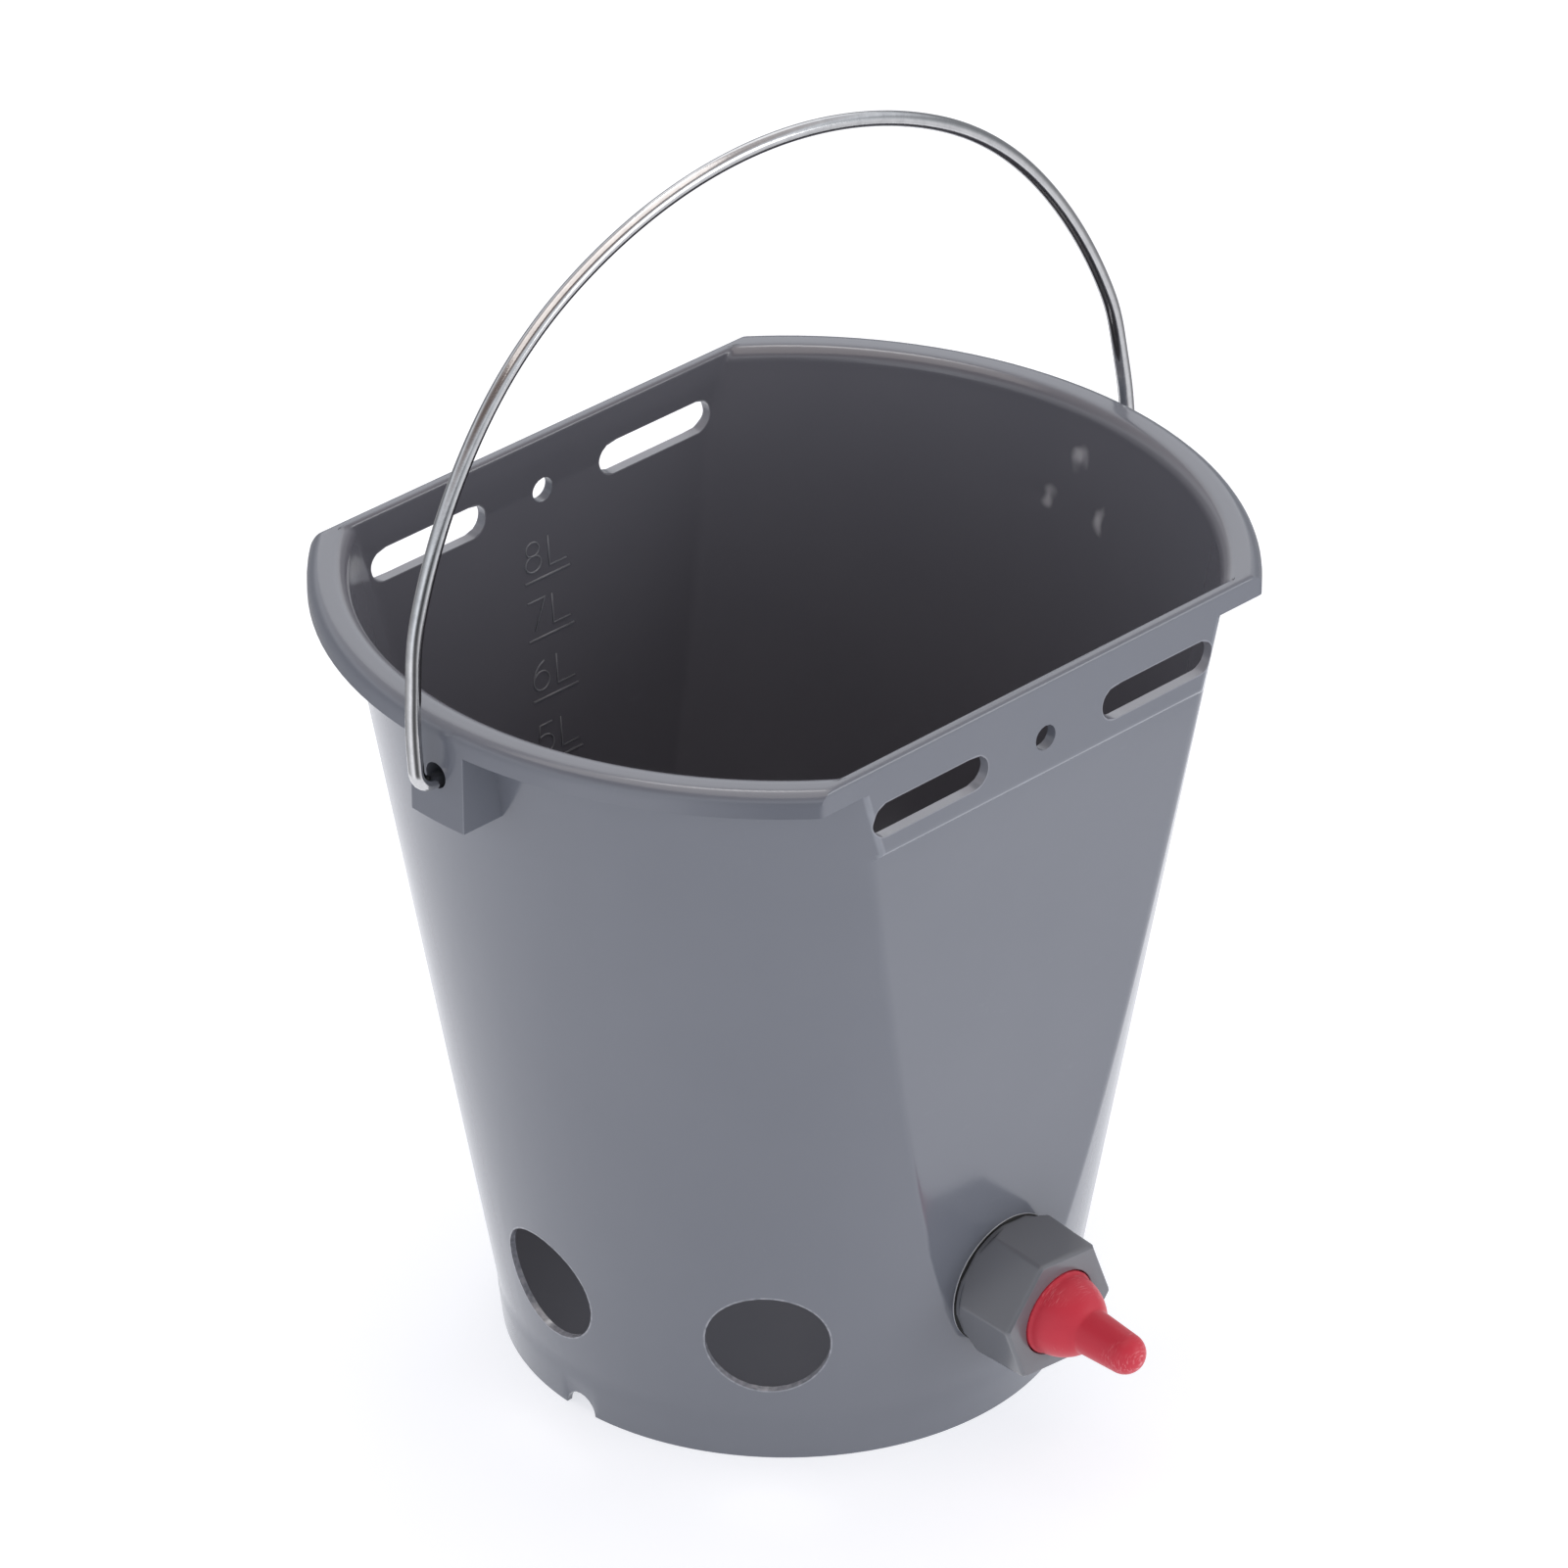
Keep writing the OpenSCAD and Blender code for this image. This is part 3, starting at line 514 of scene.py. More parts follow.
def hole_rings(shell, window, centre, axis, across, radius, straight, wall):
    """Rings between a window's frame and the hole's outline. Returns the outline's point numbers.

    With no wall given, the points lie on the ear's face, which is part of the rim's cylinder."""
    frame_ids = shell.frame(*window)
    border = np.concatenate(shell.points)[frame_ids]
    up = np.cross(axis, across)
    flat = np.stack([(border - centre) @ across, (border - centre) @ up], 1)
    spine = np.clip(flat[:, 0], -straight / 2, straight / 2)
    away = flat - np.stack([spine, np.zeros_like(spine)], 1)
    outline = flat - away + radius * away / np.linalg.norm(away, axis=1, keepdims=True)
    plan = outline + RING_SHARES[:-1, None, None] * (flat - outline)
    points = centre + plan[..., :1] * across + plan[..., 1:] * up
    if wall is not None:
        points = on_wall(points, axis, wall)
    else:
        points[..., 0] = np.sign(points[..., 0]) * np.sqrt(RIM_R**2 - points[..., 1] ** 2)
    ids = shell.add_points(points).reshape(len(RING_SHARES) - 1, -1)
    for k in range(len(ids) - 1):
        shell.strip(ids[k], ids[k + 1])
    shell.strip(ids[-1], frame_ids)
    return ids[0]


def height_row(part, z):
    """Number of the grid row of a part of the wall at a height."""
    k = int(np.argmin(np.abs(WALL_HEIGHTS - z)))
    assert abs(WALL_HEIGHTS[k] - z) < 0.01
    return START["outer"] + k if part == "outer" else START["inner"] + len(WALL_HEIGHTS) - 1 - k


def tunnel(shell, heights, columns, centre, axis, radius, straight=0.0):
    """A hole right through the wall, between two heights and two columns of the grid."""
    axis = np.asarray(axis, float)
    across = np.cross([0, 0, 1.0], axis)
    across /= np.linalg.norm(across)
    loops = [
        hole_rings(shell, (height_row(part, heights[0]), height_row(part, heights[1]), *columns),
                   np.asarray(centre, float), axis, across, radius, straight, wall)
        for part, wall in (("outer", outer_wall), ("inner", inner_wall))]
    shell.strip(*loops)


def open_hole(turn):
    """Middle and outward axis of an open teat hole: on the cone at its height, square to the wall."""
    r = float(outer_round(OPEN_HOLE_Z))
    middle = np.array([r * math.sin(turn), -r * math.cos(turn), OPEN_HOLE_Z])
    return middle, np.array([
        math.sin(turn) * math.cos(DRAFT), -math.cos(turn) * math.cos(DRAFT), -math.sin(DRAFT)])


def cut_teat_holes(shell):
    """The front hole, which holds the valve, and two open holes on each side."""
    flat = COLUMN["flat"]
    middle = (0, -FLAT_START - FLAT_SLOPE * TEAT_Z, TEAT_Z)
    tunnel(shell, FRONT_WINDOW, (-flat, flat), middle, TEAT_OUT, TEAT_HOLE_R)
    for turn, first, last in zip(TEAT_HOLE_TURNS, ("beyond", "far_start"), ("hole_end", "far_end")):
        for side in (1, -1):
            columns = (COLUMN[first], COLUMN[last]) if side > 0 else (-COLUMN[last], -COLUMN[first])
            tunnel(shell, SIDE_WINDOW, columns, *open_hole(math.radians(turn) * side), TEAT_HOLE_R)


def cut_band_holes(shell):
    """The slots and pin holes of both hanging bands."""
    slot_first = int(np.argmin(np.abs(FLAT_SHARES - SLOT_SHARE)))
    slot_last = COLUMN["flat"] + FRONT_STEPS["crease"] + FRONT_STEPS["near"]
    pin_last = int(np.argmin(np.abs(FLAT_SHARES - PIN_SHARE)))
    for middle, face in ((0, -1.0), (LAST, 1.0)):
        out = (0, face, 0)
        columns = (middle - pin_last, middle + pin_last)
        tunnel(shell, BAND_WINDOW, columns, (0, face * BAND_Y, SLOT_Z), out, PIN_HOLE_R)
        for side in (1, -1):
            columns = sorted((middle + side * slot_first, middle + side * slot_last))
            place = (-face * SLOT_X * side, face * BAND_Y, SLOT_Z)
            tunnel(shell, BAND_WINDOW, columns, place, out, SLOT_H / 2, SLOT_LEN - SLOT_H)


def cut_bores(shell):
    """The blind bores in the ears, where the bail's ends turn."""
    rows = START["channel"] + 2, START["channel"] + 10
    inset = len(EAR_STEPS) - 6
    columns = np.array([COLUMN["ear"] + inset, COLUMN["ear_end"] - inset])
    for side in (1, -1):
        mouth = hole_rings(
            shell, (*rows, *np.sort(columns * side)), np.array([side * RIM_R, 0, BORE_Z]),
            np.array([side, 0.0, 0]), np.array([0, float(side), 0]), BORE_R, 0.0, None)
        bottom_x = side * (RIM_R - BORE_DEPTH)
        bottom = np.concatenate(shell.points)[mouth] * [0, 1, 1] + [bottom_x, 0, 0]
        end = shell.add_points(bottom)
        shell.strip(mouth, end)
        middle = shell.add_points(np.broadcast_to([bottom_x, 0, BORE_Z], bottom.shape).copy())
        shell.strip(end, middle)


def make_bucket():
    """The grid without its windows, joined with the rings and tunnels of every hole."""
    shell = Shell(POINTS)
    cut_teat_holes(shell)
    cut_band_holes(shell)
    cut_bores(shell)
    cells = grid_faces(POINTS.shape[0], AROUND).reshape(POINTS.shape[0] - 1, AROUND, 4)
    faces = np.concatenate([cells[shell.keep], *shell.faces])
    piece = make_mesh("bucket_moulding", np.concatenate(shell.points), faces)
    return round_edges(piece, 0.35)


bucket = make_bucket()
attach(bucket, "bucket")
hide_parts("bucket_body")

# %% [markdown]
# ## Numbers and lines in the milk room
# The back flat carries a raised line at every whole litre, with its number. The heights aren't drawn by
# hand: the milk's surface is added up millimetre by millimetre, and each line sits where the sum reaches
# a litre. The figures are strokes, made of straight runs and arcs, that stand a third of a millimetre
# out of the wall. Each stroke is a low ridge with a flat top.

# %% Litre heights and strokes
TOP_LITRE, FIGURE_H, FIGURE_W, FIGURE_LIFT = 8, 10.6, 7.6, 3.2
LINE_W, STROKE_W, STROKE_H, STROKE_ROOT = 0.75, 0.5, 0.3, 0.6
LINE_FROM, LINE_TO, LETTER_X = -10.5, 9.6, 0.7


def litre_heights():
    """Surface area is two wedges and two sectors of the circle; the height is where its sum is n litres."""
    z = np.arange(FLOOR_Z, BUCKET_H, 0.5)
    r, c = inner_round(z + 0.25), np.minimum(inner_flat(z + 0.25), inner_round(z + 0.25))
    area = 2 * (c * np.sqrt(r * r - c * c) + r * r * np.arcsin(c / r))
    return np.interp(np.arange(1, TOP_LITRE + 1) * 1e6, np.concatenate([[0], np.cumsum(area * 0.5)[:-1]]), z)


def bend(x, z, wide, high, start, end):
    """Points on an ellipse about (x, z), from one angle to another, every 15 degrees or so."""
    a = np.radians(np.linspace(start, end, max(4, abs(end - start) // 15 + 1)))
    return np.stack([x + wide * np.cos(a), z + high * np.sin(a)], 1)


FIGURES = {
    "1": [[(0.25, 0.78), (0.6, 1), (0.6, 0)]],
    "2": [np.concatenate([bend(0.5, 0.7, 0.46, 0.3, 165, -35), [(0.02, 0), (1, 0)]])],
    "3": [bend(0.46, 0.74, 0.42, 0.26, 150, -90), bend(0.46, 0.26, 0.5, 0.26, 90, -150)],
    "4": [[(0.74, 0), (0.74, 1), (0, 0.3), (1, 0.3)]],
    "5": [np.concatenate([[(0.92, 1), (0.2, 1), (0.1, 0.52)], bend(0.46, 0.32, 0.5, 0.32, 135, -145)])],
    "6": [np.concatenate([bend(1.02, 0.34, 0.98, 0.66, 108, 180), bend(0.5, 0.32, 0.46, 0.32, 180, 525)])],
    "7": [[(0, 1), (1, 1), (0.35, 0)]],
    "8": [bend(0.5, 0.76, 0.38, 0.24, 0, 345), bend(0.5, 0.27, 0.46, 0.27, 0, 345)],
    "L": [[(0, 1), (0, 0), (1, 0)]],
}
CLOSED_FIGURES = "8"


def ridge(line, closed, width):
    """Cross-section of a stroke at each of its points, square to the mean of the two directions there."""
    line = np.asarray(line, float)
    ahead = np.roll(line, -1, 0) - line
    behind = line - np.roll(line, 1, 0)
    if not closed:
        ahead[-1], behind[0] = behind[-1], ahead[0]
    ahead /= np.linalg.norm(ahead, axis=1, keepdims=True)
    behind /= np.linalg.norm(behind, axis=1, keepdims=True)
    mean = ahead + behind
    mean /= np.linalg.norm(mean, axis=1, keepdims=True)
    wider = 1 / np.maximum((mean * ahead).sum(1), 0.5)
    side = np.stack([mean[:, 1], -mean[:, 0]], 1) * wider[:, None]
    across = np.array([-0.5, -0.5, -0.3, 0.3, 0.5, 0.5]) * width
    lift = np.array([-STROKE_ROOT, 0.12, STROKE_H, STROKE_H, 0.12, -STROKE_ROOT])
    plan = line[:, None, :] + across[None, :, None] * side[:, None, :]
    return np.concatenate([plan, np.broadcast_to(lift[None, :, None], (len(line), 6, 1))], 2)


def make_litre_marks():
    """All strokes as one mesh: (x, z, lift) goes to the back flat's inner face at that x and z."""
    points, faces, count = [], [], 0
    for number, z in enumerate(litre_heights(), 1):
        strokes = [(np.array([(LINE_FROM, z), (LINE_TO, z)]), False, LINE_W)]
        for sign, x in ((str(number), LINE_FROM + 0.4), ("L", LETTER_X)):
            for stroke in FIGURES[sign]:
                place = np.asarray(stroke, float) * [FIGURE_W, FIGURE_H] + [x, z + FIGURE_LIFT]
                strokes.append((place, sign in CLOSED_FIGURES, STROKE_W))
        for line, closed, width in strokes:
            rings = ridge(line, closed, width)
            rows = len(rings) + closed
            flat = np.concatenate([rings, rings[:1]])[:rows].reshape(-1, 3)
            quads = grid_faces(rows, 6, start=count)
            points.append(flat)
            faces += quads.tolist()
            if not closed:
                first, last = np.arange(6) + count, np.arange(6) + count + (rows - 1) * 6
                faces += [first.tolist(), last[::-1].tolist()]
            count += len(flat)
    flat = np.concatenate(points)
    place = np.stack([flat[:, 0], inner_flat(flat[:, 1]) - flat[:, 2], flat[:, 1]], 1)
    print("litre lines at", litre_heights().round(1), "mm")
    return make_mesh("litre_marks", place, faces)


litre_marks = make_litre_marks()
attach(litre_marks, "bucket")

# %% [markdown]
# ## The bail
# The bail is one steel wire, bent over a former. A bender would think of it as runs of wire with a turn
# in each, and so does the formula: the curvature is a list along the wire, the heading is its running
# sum, and the place is the running sum of the heading's direction. Averaging the curvature over a short
# length gives the soft transitions that spring steel has. A tube is then carried along the path.

# %% Bail
WIRE_R, BAIL_RISE, BAIL_LEAN, PIVOT_Z, WIRE_END_X = 2.5, 158.4, math.radians(4.95), 260.7, 141.75
EYE_R, SPRING, STEP = 6.0, 16.0, 0.2
BAIL_RUNS = ((84.7, 26.8), (52.6, 23.0), (66.3, 22.1), (2.9, 11.2), (24.0, 0.0), (7.2, 6.9), (7.4, 0.0))


def bail_path():
    """Half of the wire's middle line, from the crown to its end in the ear, as (x, height)."""
    curvature = np.concatenate([
        np.full(round(length / STEP), math.radians(turn) / length) for length, turn in BAIL_RUNS])
    box = round(SPRING / STEP)
    curvature = np.pad(curvature, (box // 2, box - box // 2 - 1), "edge")
    curvature = np.convolve(curvature, np.full(box, 1 / box), "valid")
    heading = np.cumsum(curvature) * STEP
    heading *= math.pi / 2 / heading[-1]
    x = np.cumsum(np.cos(heading)) * STEP
    z = BAIL_RISE - np.cumsum(np.sin(heading)) * STEP
    pick = slice(None, None, 9)
    a = np.linspace(0, math.pi / 2, 10)
    leg_x = x[-1]
    down = np.linspace(z[-1], EYE_R, 12)[1:-1]
    inward = np.linspace(leg_x - EYE_R, WIRE_END_X, 4)[1:]
    path_x = np.concatenate([[0], x[pick], np.full(10, leg_x), leg_x - EYE_R * (1 - np.cos(a)), inward])
    path_z = np.concatenate([[BAIL_RISE], z[pick], down, EYE_R * (1 - np.sin(a)), np.zeros(3)])
    print("bail leg at x =", round(float(leg_x), 2), "mm, straight from", round(float(z[-1]), 1), "mm")
    return np.stack([path_x, path_z], 1)


def make_bail(sides=28):
    """A tube: each ring lies square to the path, and the last rings close to a clipped, rounded end."""
    half = bail_path()
    path = np.concatenate([half[::-1] * [-1, 1], half[1:]])
    path = np.concatenate([path[:1], path[:1], path[:1] + [0.12, 0], path[:1] + [0.5, 0], path[1:-1],
                           path[-1:] - [0.5, 0], path[-1:] - [0.12, 0], path[-1:], path[-1:]])
    radius = np.full(len(path), WIRE_R)
    radius[[0, 1, 2]] = radius[[-1, -2, -3]] = 0, WIRE_R - 0.5, WIRE_R - 0.12
    along = np.gradient(path, axis=0)
    along[[0, 1, 2]], along[[-1, -2, -3]] = (1, 0), (-1, 0)
    along /= np.linalg.norm(along, axis=1, keepdims=True)
    normal = np.stack([-along[:, 1], along[:, 0]], 1)
    a = np.linspace(0, 2 * math.pi, sides, endpoint=False)
    off = radius[:, None] * np.cos(a)
    x = path[:, :1] + off * normal[:, :1]
    up = path[:, 1:] + off * normal[:, 1:]
    level = radius[:, None] * np.sin(a)
    c, s = math.cos(BAIL_LEAN), math.sin(BAIL_LEAN)
    points = np.stack([x, level * c + up * s, PIVOT_Z - level * s + up * c], -1)
    return make_mesh("bail_wire", points.reshape(-1, 3), grid_faces(len(path), sides))


bail = make_bail()
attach(bail, "bail")
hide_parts("bail_handle")

# %% [markdown]
# ## The nut, the thread and the teat
# These three share the teat's axis, which stands square to the leaning flat. A point is given by its
# station along the axis, its distance from it and its angle about it. The nut's outline is a hexagon
# whose corners are softened with the same smooth minimum as the wall. Its thread is the surface of a
# screw: the groove follows the station less the pitch times the turn.

# %% Places along the teat's axis
def along_teat(t, r, a):
    """Point at station t, distance r and angle a: place + t out + r (cos a side + sin a up)."""
    side = np.array([1.0, 0, 0])
    up = np.cross(TEAT_OUT, side)
    t, r, a = np.broadcast_arrays(t, r, a)
    place = np.array([0, -FLAT_START - FLAT_SLOPE * TEAT_Z, TEAT_Z])
    turn = np.cos(a)[..., None] * side + np.sin(a)[..., None] * up
    return place + t[..., None] * TEAT_OUT + r[..., None] * turn


print("the teat's axis starts at", along_teat(0.0, 0.0, 0.0).round(2), "mm")

NUT_BACK, NUT_FRONT, NUT_TURN, NUT_CORNER, NUT_DRAFT = 0.85, 25.5, 53.9, 24.2, 0.9
COLLAR_R, COLLAR_END, NUT_BEVEL, NUT_HOLE_R, LIP_BACK = 22.35, 2.25, 0.9, 15.0, 21.5
THREAD_R, THREAD_GAP, PITCH, THREAD_DEPTH, THREAD_START = 18.3, 0.1, 3.0, 0.8, 3.2
SPIGOT_END, TOOTH_FOOT, TOOTH_TOP = 19.0, 0.84, 0.36


def thread_height(t, a, spare):
    """Ridge of the screw: a flat-topped tooth about the line where the station is the pitch times a turn."""
    off = (t - THREAD_START - PITCH * a / (2 * math.pi) + PITCH / 2) % PITCH - PITCH / 2
    return THREAD_DEPTH * np.clip((TOOTH_FOOT + spare - np.abs(off)) / 0.48, 0, 1)


# %% Nut
def make_nut(sides=216):
    """Rows by station: the hexagon outside, its front face, the teat's hole, and the screw's groove inside.

    The outside is the least of three distances: the hexagon, the bevel at its front, and the cone behind."""
    a = np.linspace(0, 2 * math.pi, sides, endpoint=False)[None, :]
    off = (a - math.radians(NUT_TURN)) % (math.pi / 3) - math.pi / 6
    out_t = np.array([0.85, 0.95, 1.6, 2.15, 2.3, 2.5, 2.8, 3.2, 3.6, 4.0, 4.5, 5, 6, 10, 15, 20, 23.6, 24.3,
                      24.5, 24.7, 24.9, 25.1, 25.25, 25.38, 25.46, 25.5])[:, None]
    corner = NUT_CORNER + NUT_DRAFT * (NUT_FRONT - out_t) / (NUT_FRONT - NUT_BACK)
    level = math.cos(math.pi / 6)
    flat = soft_min(corner * level / np.cos(off), corner * level / np.cos(math.pi / 3 - np.abs(off)), 0.6)
    bevel = flat * (NUT_CORNER - NUT_BEVEL + NUT_FRONT - out_t) / corner
    hexagon = soft_min(flat, bevel, 0.35)
    envelope = COLLAR_R + np.maximum(out_t - COLLAR_END, 0)
    outer = soft_min(hexagon, envelope, 0.12)
    outer[:1] -= 0.1
    face = outer[-1:]
    mouth = NUT_HOLE_R + 0.45
    halfway = face - (face - NUT_HOLE_R - 0.45) * 0.5
    face_r = np.concatenate([face - 0.25, halfway, np.full((1, sides), mouth)])
    hole_t = np.array([NUT_FRONT, 25.37, 25.05, 24, LIP_BACK])[:, None]
    hole_r = np.array([mouth, NUT_HOLE_R + 0.13, NUT_HOLE_R, NUT_HOLE_R, NUT_HOLE_R])[:, None]
    screw_t = np.linspace(LIP_BACK, NUT_BACK, 84)[:, None]
    fade = np.clip((LIP_BACK - screw_t) / 1.5, 0, 1) * np.clip((screw_t - NUT_BACK) / 1.0, 0, 1)
    screw_r = THREAD_R + THREAD_GAP + thread_height(screw_t, a, THREAD_GAP) * fade
    rows = [(out_t, outer), (np.full((3, 1), NUT_FRONT), face_r), (hole_t, hole_r), (screw_t, screw_r),
            (out_t[:1], outer[:1])]
    points = np.concatenate([along_teat(t, np.broadcast_to(r, (len(r), sides)), a) for t, r in rows])
    return make_mesh("hexagon_nut", points.reshape(-1, 3), grid_faces(len(points), sides))


nut = make_nut()
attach(nut, "nut")
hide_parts("teat_nut")


# %% Thread on the spigot
def make_thread(sides=72):
    """A tooth carried along the helix, fading out at both ends into the spigot."""
    turns = (SPIGOT_END - 1.2 - THREAD_START) / PITCH
    a = np.linspace(0, 2 * math.pi * turns, round(sides * turns))[:, None]
    shift = np.array([[-TOOTH_FOOT, -TOOTH_FOOT, -TOOTH_TOP, TOOTH_TOP, TOOTH_FOOT, TOOTH_FOOT]])
    lift = np.array([[-0.4, 0, THREAD_DEPTH, THREAD_DEPTH, 0, -0.4]])
    fade = np.clip(np.minimum(a, a[-1] - a) / 0.8, 0, 1)
    lift = np.where(lift > 0, lift * fade, lift)
    points = along_teat(THREAD_START + PITCH * a / (2 * math.pi) + shift, THREAD_R + lift, a)
    start = points[:1].mean(1, keepdims=True) + np.zeros((1, 6, 1))
    end = points[-1:].mean(1, keepdims=True) + np.zeros((1, 6, 1))
    points = np.concatenate([start, points, end])
    return make_mesh("spigot_thread", points.reshape(-1, 3), grid_faces(len(points), 6))


thread = make_thread()
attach(thread, "bucket")

# %% Teat
BRIM_R, BRIM_BACK, BRIM_FRONT, RUBBER_T = 18.1, 19.1, 21.35, 2.6
DOME_R, DOME_LEN, DOME_POWER, NIPPLE_ROOT, NIPPLE_TIP, TEAT_LEN = 14.03, 17.1, 0.56, 8.6, 6.9, 35.7
SKIRT_SPREAD, SKIRT_LEN, NECK_BLEND = 0.65, 1.8, 0.4


def teat_radius(t, inset):
    """The larger of a dome, an ellipse in section, and a tapering nipple with a round end."""
    tip, length = NIPPLE_TIP - inset, TEAT_LEN - inset
    centre = length - tip
    dome = (DOME_R - inset) * np.clip(1 - (t / (DOME_LEN - inset / 2)) ** 2, 0, 1) ** DOME_POWER
    nipple = NIPPLE_ROOT - inset + (NIPPLE_TIP - NIPPLE_ROOT) * np.clip(t / centre, 0, 1)
    round_end = np.sqrt(np.clip(tip**2 - np.clip(t - centre, 0, None) ** 2, 0, None))
    return -soft_min(-dome, -np.minimum(nipple, np.where(t > centre, round_end, nipple)), NECK_BLEND)


def make_teat(sides=96):
    """Rows by station: the brim behind the nut's lip, the outside to the tip, and the inside back again."""
    a = np.linspace(0, 2 * math.pi, sides, endpoint=False)[None, :]
    grow = np.sin(np.linspace(0, math.pi / 2, 40))[:, None]
    out_t = np.concatenate([np.linspace(0, 1.8, 7)[:-1, None], np.linspace(1.8, 20, 52)[:, None],
                            20 + (TEAT_LEN - 20) * grow[1:]])
    in_len = TEAT_LEN - RUBBER_T
    in_t = np.concatenate([
        np.linspace(0, 18, 16)[:, None], 18 + (in_len - 18) * grow[1::3], [[in_len]]])[::-1]
    outer, inner = teat_radius(out_t, 0), teat_radius(in_t, RUBBER_T)
    outer += SKIRT_SPREAD * np.clip(1 - out_t / SKIRT_LEN, 0, 1) ** 2
    outer[-1], inner[0] = 0, 0
    brim_t = np.array([
        BRIM_BACK, BRIM_BACK, BRIM_BACK + 0.3, BRIM_FRONT - 0.3, BRIM_FRONT, BRIM_FRONT,
        BRIM_FRONT + 0.4])[:, None]
    brim_r = np.array([DOME_R - RUBBER_T, BRIM_R - 0.3, BRIM_R, BRIM_R, BRIM_R - 0.3, DOME_R + 0.4, DOME_R])
    rows = [(brim_t, brim_r[:, None]), (NUT_FRONT + out_t, outer), (NUT_FRONT + in_t, inner),
            (brim_t[:1], brim_r[:1, None])]
    points = np.concatenate([along_teat(t, np.broadcast_to(r, (len(r), sides)), a) for t, r in rows])
    return make_mesh("rubber_teat", points.reshape(-1, 3), grid_faces(len(points), sides))


teat = make_teat()
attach(teat, "teat_part")
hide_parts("teat")

# %% [markdown]
# ## Materials
# Two effects are shared by several finishes, so each is a node group. The first is the skin of a
# moulding: a faint orange peel with slight cloudy changes of gloss and tone. The second is handling: thin
# pale scuffs where something has rubbed. Both read Object coordinates, so the pattern stays on the piece.

# %% Node helpers
def add(tree, kind, inputs=(), **settings):
    """Adds a node. Settings go on the node, and each input gets a number, a colour or a link."""
    node = tree.nodes.new(kind)
    for name, value in settings.items():
        setattr(node, name, value)
    for name, value in dict(inputs).items():
        if isinstance(value, bpy.types.NodeSocket):
            tree.links.new(value, node.inputs[name])
        else:
            node.inputs[name].default_value = value
    return node


def maths(tree, operation, first, *others):
    """Math nodes in a row: the operation on the first two values, then on that result and the next."""
    for other in others or (0.0,):
        first = add(tree, "ShaderNodeMath", {0: first, 1: other}, operation=operation).outputs[0]
    return first


def vectors(tree, operation, a, b=(0, 0, 0)):
    """The result of a Vector Math node: a number where the operation gives one, and else a vector."""
    node = add(tree, "ShaderNodeVectorMath", {0: a, 1: b}, operation=operation)
    return node.outputs["Value" if operation in ("DOT_PRODUCT", "LENGTH", "DISTANCE") else "Vector"]


def vector_of(tree, x=0.0, y=0.0, z=0.0):
    """A vector from three numbers."""
    return add(tree, "ShaderNodeCombineXYZ", {0: x, 1: y, 2: z}).outputs[0]


def parts_of(tree, vector):
    """The three numbers of a vector."""
    return add(tree, "ShaderNodeSeparateXYZ", {0: vector}).outputs


def between(tree, value, low, high, smooth=False, to=(0.0, 1.0)):
    """Runs from 0 at low to 1 at high, and stays level outside. High may be the smaller of the two."""
    return add(tree, "ShaderNodeMapRange", {
        "Value": value, "From Min": low, "From Max": high, "To Min": to[0], "To Max": to[1]},
        interpolation_type="SMOOTHSTEP" if smooth else "LINEAR").outputs["Result"]


def mix_colour(tree, share, a, b):
    """Colour a where the share is 0 and b where it is 1."""
    first, second = (value if isinstance(value, bpy.types.NodeSocket) else (*value, 1) for value in (a, b))
    return add(tree, "ShaderNodeMix", {0: share, 6: first, 7: second}, data_type="RGBA").outputs[2]


def object_place(tree):
    """The point on the piece, in its own coordinates and in metres."""
    return add(tree, "ShaderNodeTexCoord").outputs["Object"]


def place_in_mm(tree):
    """The same point as x, y and z in millimetres."""
    return parts_of(tree, vectors(tree, "MULTIPLY", object_place(tree), (1 / MM,) * 3))


def noise(tree, vector, scale, detail=2.0, roughness=0.5):
    """A cloudy noise, whose scale is the number of waves in a metre."""
    return add(tree, "ShaderNodeTexNoise", {
        "Vector": vector, "Scale": scale, "Detail": detail, "Roughness": roughness}).outputs["Fac"]


def spread(tree, cloud, low, high):
    """A noise runs from about 0.3 to 0.7. This moves it to run from low to high."""
    return between(tree, cloud, 0.3, 0.7, to=(low, high))


# %% Shared effects
def new_group(name, inputs, outputs):
    """An empty node group with float inputs and float outputs."""
    tree = bpy.data.node_groups.new(name, "ShaderNodeTree")
    for label, value in inputs.items():
        socket = tree.interface.new_socket(name=label, in_out="INPUT", socket_type="NodeSocketFloat")
        socket.default_value = value
    for label in outputs:
        tree.interface.new_socket(name=label, in_out="OUTPUT", socket_type="NodeSocketFloat")
    return tree, tree.nodes.new("NodeGroupInput").outputs, tree.nodes.new("NodeGroupOutput").inputs


def moulded_skin():
    """Cloud is a noise of 70 mm. Height is a peel of 3 mm with a fine grain on it, both scaled by Size."""
    tree, given, result = new_group("moulded_skin", {"Size": 1.0}, ("Cloud", "Height"))
    place = object_place(tree)
    peel = noise(tree, place, maths(tree, "DIVIDE", 330.0, given["Size"]), 1.0)
    grain = noise(tree, place, maths(tree, "DIVIDE", 1900.0, given["Size"]), 2.0)
    tree.links.new(noise(tree, place, 14.0, 3.0), result["Cloud"])
    tree.links.new(maths(tree, "ADD", peel, maths(tree, "MULTIPLY", grain, 0.18)), result["Height"])
    return tree


